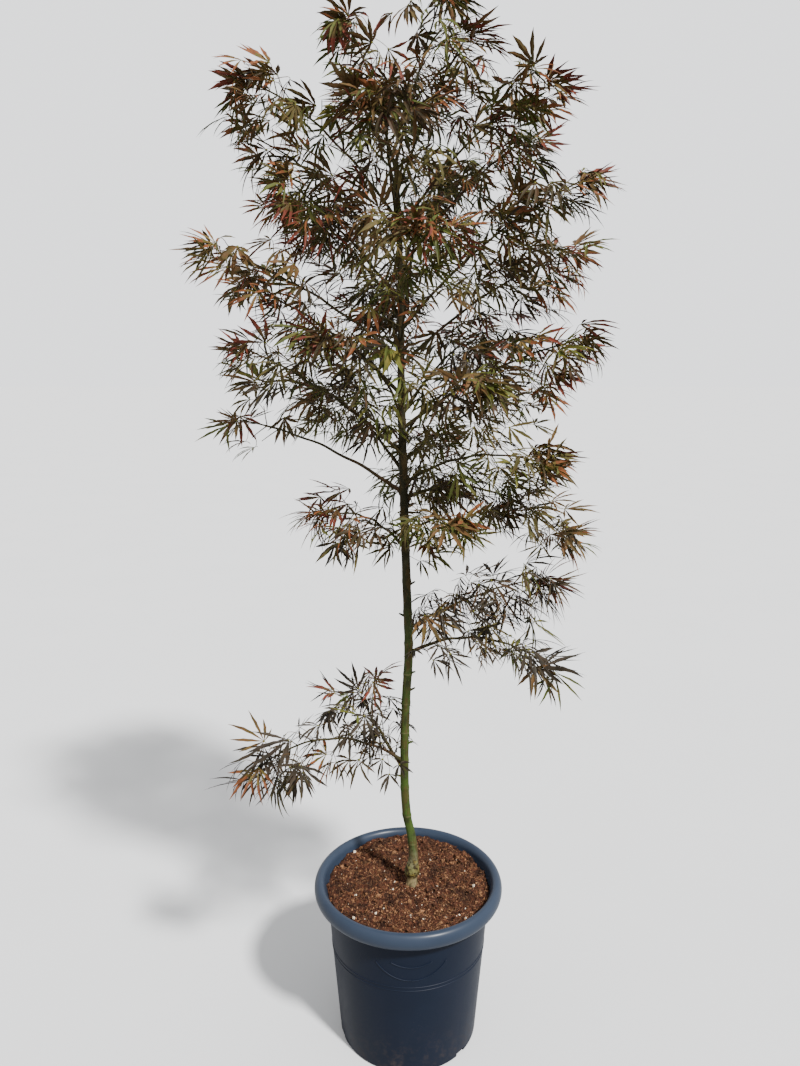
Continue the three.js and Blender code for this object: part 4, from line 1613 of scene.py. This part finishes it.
def finger_strips(chosen, seed):
    """The fingers of many leaves: by finger and ring, the left edge, the rib and the right edge."""
    draw = np.random.default_rng(seed)
    start, ahead, aside, above, lengths, widths, curls, sickles = finger_arrays(chosen, draw)
    swept = (sickles[:, None] * RING_PLACES)[..., None]
    level = ahead[:, None] * np.cos(swept) + aside[:, None] * np.sin(swept)
    across = aside[:, None] * np.cos(swept) - ahead[:, None] * np.sin(swept)
    bend = (curls[:, None] * RING_PLACES**CURL_LATE)[..., None]
    way = level * np.cos(bend) - above[:, None] * np.sin(bend)
    normal = level * np.sin(bend) + above[:, None] * np.cos(bend)
    steps = np.diff(RING_PLACES, prepend=0)[:, None] * lengths[:, None, None]
    rib = start[:, None] + np.cumsum(way * steps, 1)
    # The teeth of one edge stand between those of the other.
    teeth = 1 + TEETH * (-1.0) ** np.arange(len(RING_PLACES))
    edges = []
    for sign, tooth in ((1, teeth), (-1, 2 - teeth)):
        half = (widths[:, None] * RING_WIDTHS * tooth)[..., None]
        edges.append(rib + half * (sign * math.cos(FOLD) * across + math.sin(FOLD) * normal))
    return np.stack([edges[0], rib, edges[1]], 2)


def strip_mesh(strips, pointed):
    """Points and faces of strips, whose last ring is a single point where they are pointed."""
    rings = strips.shape[1]
    whole = rings - 1 if pointed else rings
    points = strips[:, :whole].reshape(len(strips), -1, 3)
    left = 3 * np.arange(whole - 1)[:, None]
    corners = np.array([(side, side + 1, side + 4, side + 3) for side in (0, 1)])
    faces = [(left[:, None] + corners).reshape(-1, 4)]
    if pointed:
        points = np.concatenate([points, strips[:, -1:, 1]], 1)
        tip = 3 * whole
        faces.append(np.array([(tip - 3, tip - 2, tip), (tip - 2, tip - 1, tip)]))
    first = (points.shape[1] * np.arange(len(points)))[:, None, None]
    return points.reshape(-1, 3), [(first + kind).reshape(-1, kind.shape[1]) for kind in faces]


# %% [markdown]
# The tints run from almost black-green through olive and bronze to the orange and red of new
# leaves. Each tint is a piece of its own. Its colour is a pair of close tones in soft patches, with
# spots of painted shade and painted light over them, and a fine vein relief. The red and orange
# leaves redden towards the tips of their fingers, so their outer rings are pieces of their own in a
# redder pair of tones.

# %% Leaf finishes
TINTS = {
    "dark": ((0.02, 0.0155, 0.0065), (0.028, 0.0155, 0.0075)),
    "umber": ((0.0135, 0.011, 0.0072), (0.02, 0.0145, 0.0092)),
    "olive": ((0.034, 0.03, 0.0085), (0.042, 0.03, 0.01)),
    "green": ((0.031, 0.037, 0.0075), (0.042, 0.039, 0.009)),
    "bronze": ((0.042, 0.029, 0.0095), (0.056, 0.029, 0.011)),
    "red": ((0.04, 0.028, 0.009), (0.054, 0.025, 0.0105)),
    "orange": ((0.049, 0.04, 0.0095), (0.067, 0.037, 0.0115)),
    "lime": ((0.045, 0.052, 0.0095), (0.063, 0.052, 0.011)),
}
TIPS = {
    "red": ((0.054, 0.0145, 0.0085), (0.08, 0.0185, 0.011)),
    "orange": ((0.07, 0.025, 0.0095), (0.1, 0.035, 0.013)),
}
# The ring of a finger where its redder part begins.
TIP_RING = 4
# Painted shade and painted light: the factors for darker and lighter spots, and their strength.
SHADED = 0.4
LIT = 1.6
PAINTED_SHADE_AND_LIGHT = 0.5


def leaf_finish(name, plain, blush):
    """A leaf's finish: two close tones in patches, spots of painted shade and light, and fine veins."""
    leaf = Finish(name)
    tone = leaf.cloud(28, 3)
    patches = leaf.fade(leaf.cloud(62, 2), 0.42, 0.58)
    vein = leaf.cloud(420, 2)
    mixed = leaf.mix(patches, rgb(*plain), rgb(*blush))
    # Painted shade and painted light: darker and lighter copies of the tones, laid in spots by a noise.
    shade = rgb(*(SHADED * part for part in plain))
    shine = rgb(*(LIT * part for part in blush))
    dark = leaf.mix(leaf.fade(tone, 0.55, 0.35) * PAINTED_SHADE_AND_LIGHT, mixed, shade)
    lit = leaf.mix(leaf.fade(tone, 0.55, 0.75) * PAINTED_SHADE_AND_LIGHT, dark, shine)
    leaf.bump(vein, 0.3, 0.5)
    return leaf.finish(Base_Color=lit, Roughness=0.48 + tone * 0.2, Specular_IOR_Level=0.06)


foliage_nodes = ["foliage_" + shoot.name for shoot in CROWN]


def add_leaves(name, strips, pointed, tints):
    """One piece of many leaf strips, all of one tint."""
    grown = joined([strip_mesh(strips, pointed)])
    piece = make_object(name, *grown, leaf_finish(name, *tints), smooth=False)
    add_piece(piece, foliage_nodes)
    print(name, len(strips), "fingers")


for number, (name, tints) in enumerate(TINTS.items()):
    strips = finger_strips([leaf for leaf in leaves if leaf.tint == name], 100 + number)
    if name in TIPS:
        add_leaves("leaves_" + name, strips[:, :TIP_RING + 1], False, tints)
        add_leaves("leaf_tips_" + name, strips[:, TIP_RING:], True, TIPS[name])
    else:
        add_leaves("leaves_" + name, strips, True, tints)

# %% [markdown]
# Last come the thin parts: the side twigs, in the bark of the boughs, and the leaf stalks, partly
# green and partly red. Where the fingers meet, the top of the stalk spreads into a small boss, which
# shows as a yellow-green point in the middle of each leaf.

# %% Twigs, stalks and bosses
TWIG_RADII = (1.25, 0.75)
TWIG_SIDES = 5
STALK_RADII = (0.75, 0.5)
STALK_SIDES = 3
STALK_POINTS = 5
STALK_BEND = 0.35
BOSS_RADIUS = 2.3
BOSS_HEIGHT = 1.1
BOSS_SIDES = 6


def plain_finish(name, dark, light, scale, roughness):
    """A soft two-tone finish for small parts."""
    part = Finish(name)
    tone = part.cloud(scale, 4)
    part.bump(part.cloud(scale * 12, 2), 0.2)
    colour = part.mix(tone, dark, light)
    return part.finish(
        Base_Color=colour, Roughness=roughness + tone * 0.15, Specular_IOR_Level=0.08
    )


lines = np.array(twig_lines)
radii = np.linspace(*TWIG_RADII, lines.shape[1]) * np.ones((len(lines), 1))
twigs = make_object("twigs", *joined([rods(lines, radii, TWIG_SIDES)]), twig_material)
add_piece(twigs, foliage_nodes)

roots = np.array([leaf.root for leaf in leaves])
ends = np.array([leaf.palm for leaf in leaves])
forwards = np.array([leaf.forward for leaf in leaves])
share = np.linspace(0, 1, STALK_POINTS)[:, None]
reach = np.linalg.norm(ends - roots, axis=1)[:, None, None]
control = ends[:, None] - forwards[:, None] * reach * STALK_BEND
lines = (1 - share) ** 2 * roots[:, None] + 2 * share * (1 - share) * control + share**2 * ends[:, None]
radii = np.linspace(*STALK_RADII, STALK_POINTS) * np.ones((len(lines), 1))
stalk_material = plain_finish("stalk", rgb(0.024, 0.024, 0.005), rgb(0.06, 0.02, 0.008), 30, 0.45)
stalks = make_object("stalks", *joined([rods(lines, radii, STALK_SIDES)]), stalk_material)
add_piece(stalks, foliage_nodes)


def bosses():
    """A low cone on the palm of each leaf, on both its faces."""
    faces = np.array([leaf.face for leaf in leaves])
    sides = np.cross(faces, forwards)
    turn = 2 * np.pi * np.arange(BOSS_SIDES) / BOSS_SIDES
    rim = np.cos(turn)[:, None] * forwards[:, None] + np.sin(turn)[:, None] * sides[:, None]
    rim = ends[:, None] + BOSS_RADIUS * rim
    caps = [ends[:, None] + sign * BOSS_HEIGHT * faces[:, None] for sign in (1, -1)]
    points = np.concatenate([rim, *caps], 1)
    after = [(a + 1) % BOSS_SIDES for a in range(BOSS_SIDES)]
    shape = [(a, after[a], BOSS_SIDES) for a in range(BOSS_SIDES)]
    shape += [(after[a], a, BOSS_SIDES + 1) for a in range(BOSS_SIDES)]
    first = points.shape[1] * np.arange(len(points))[:, None, None]
    return points.reshape(-1, 3), [(first + np.array(shape)).reshape(-1, 3)]


boss_material = plain_finish("boss", rgb(0.05, 0.055, 0.008), rgb(0.1, 0.09, 0.014), 30, 0.5)
add_piece(make_object("leaf_bosses", *joined([bosses()]), boss_material), foliage_nodes)
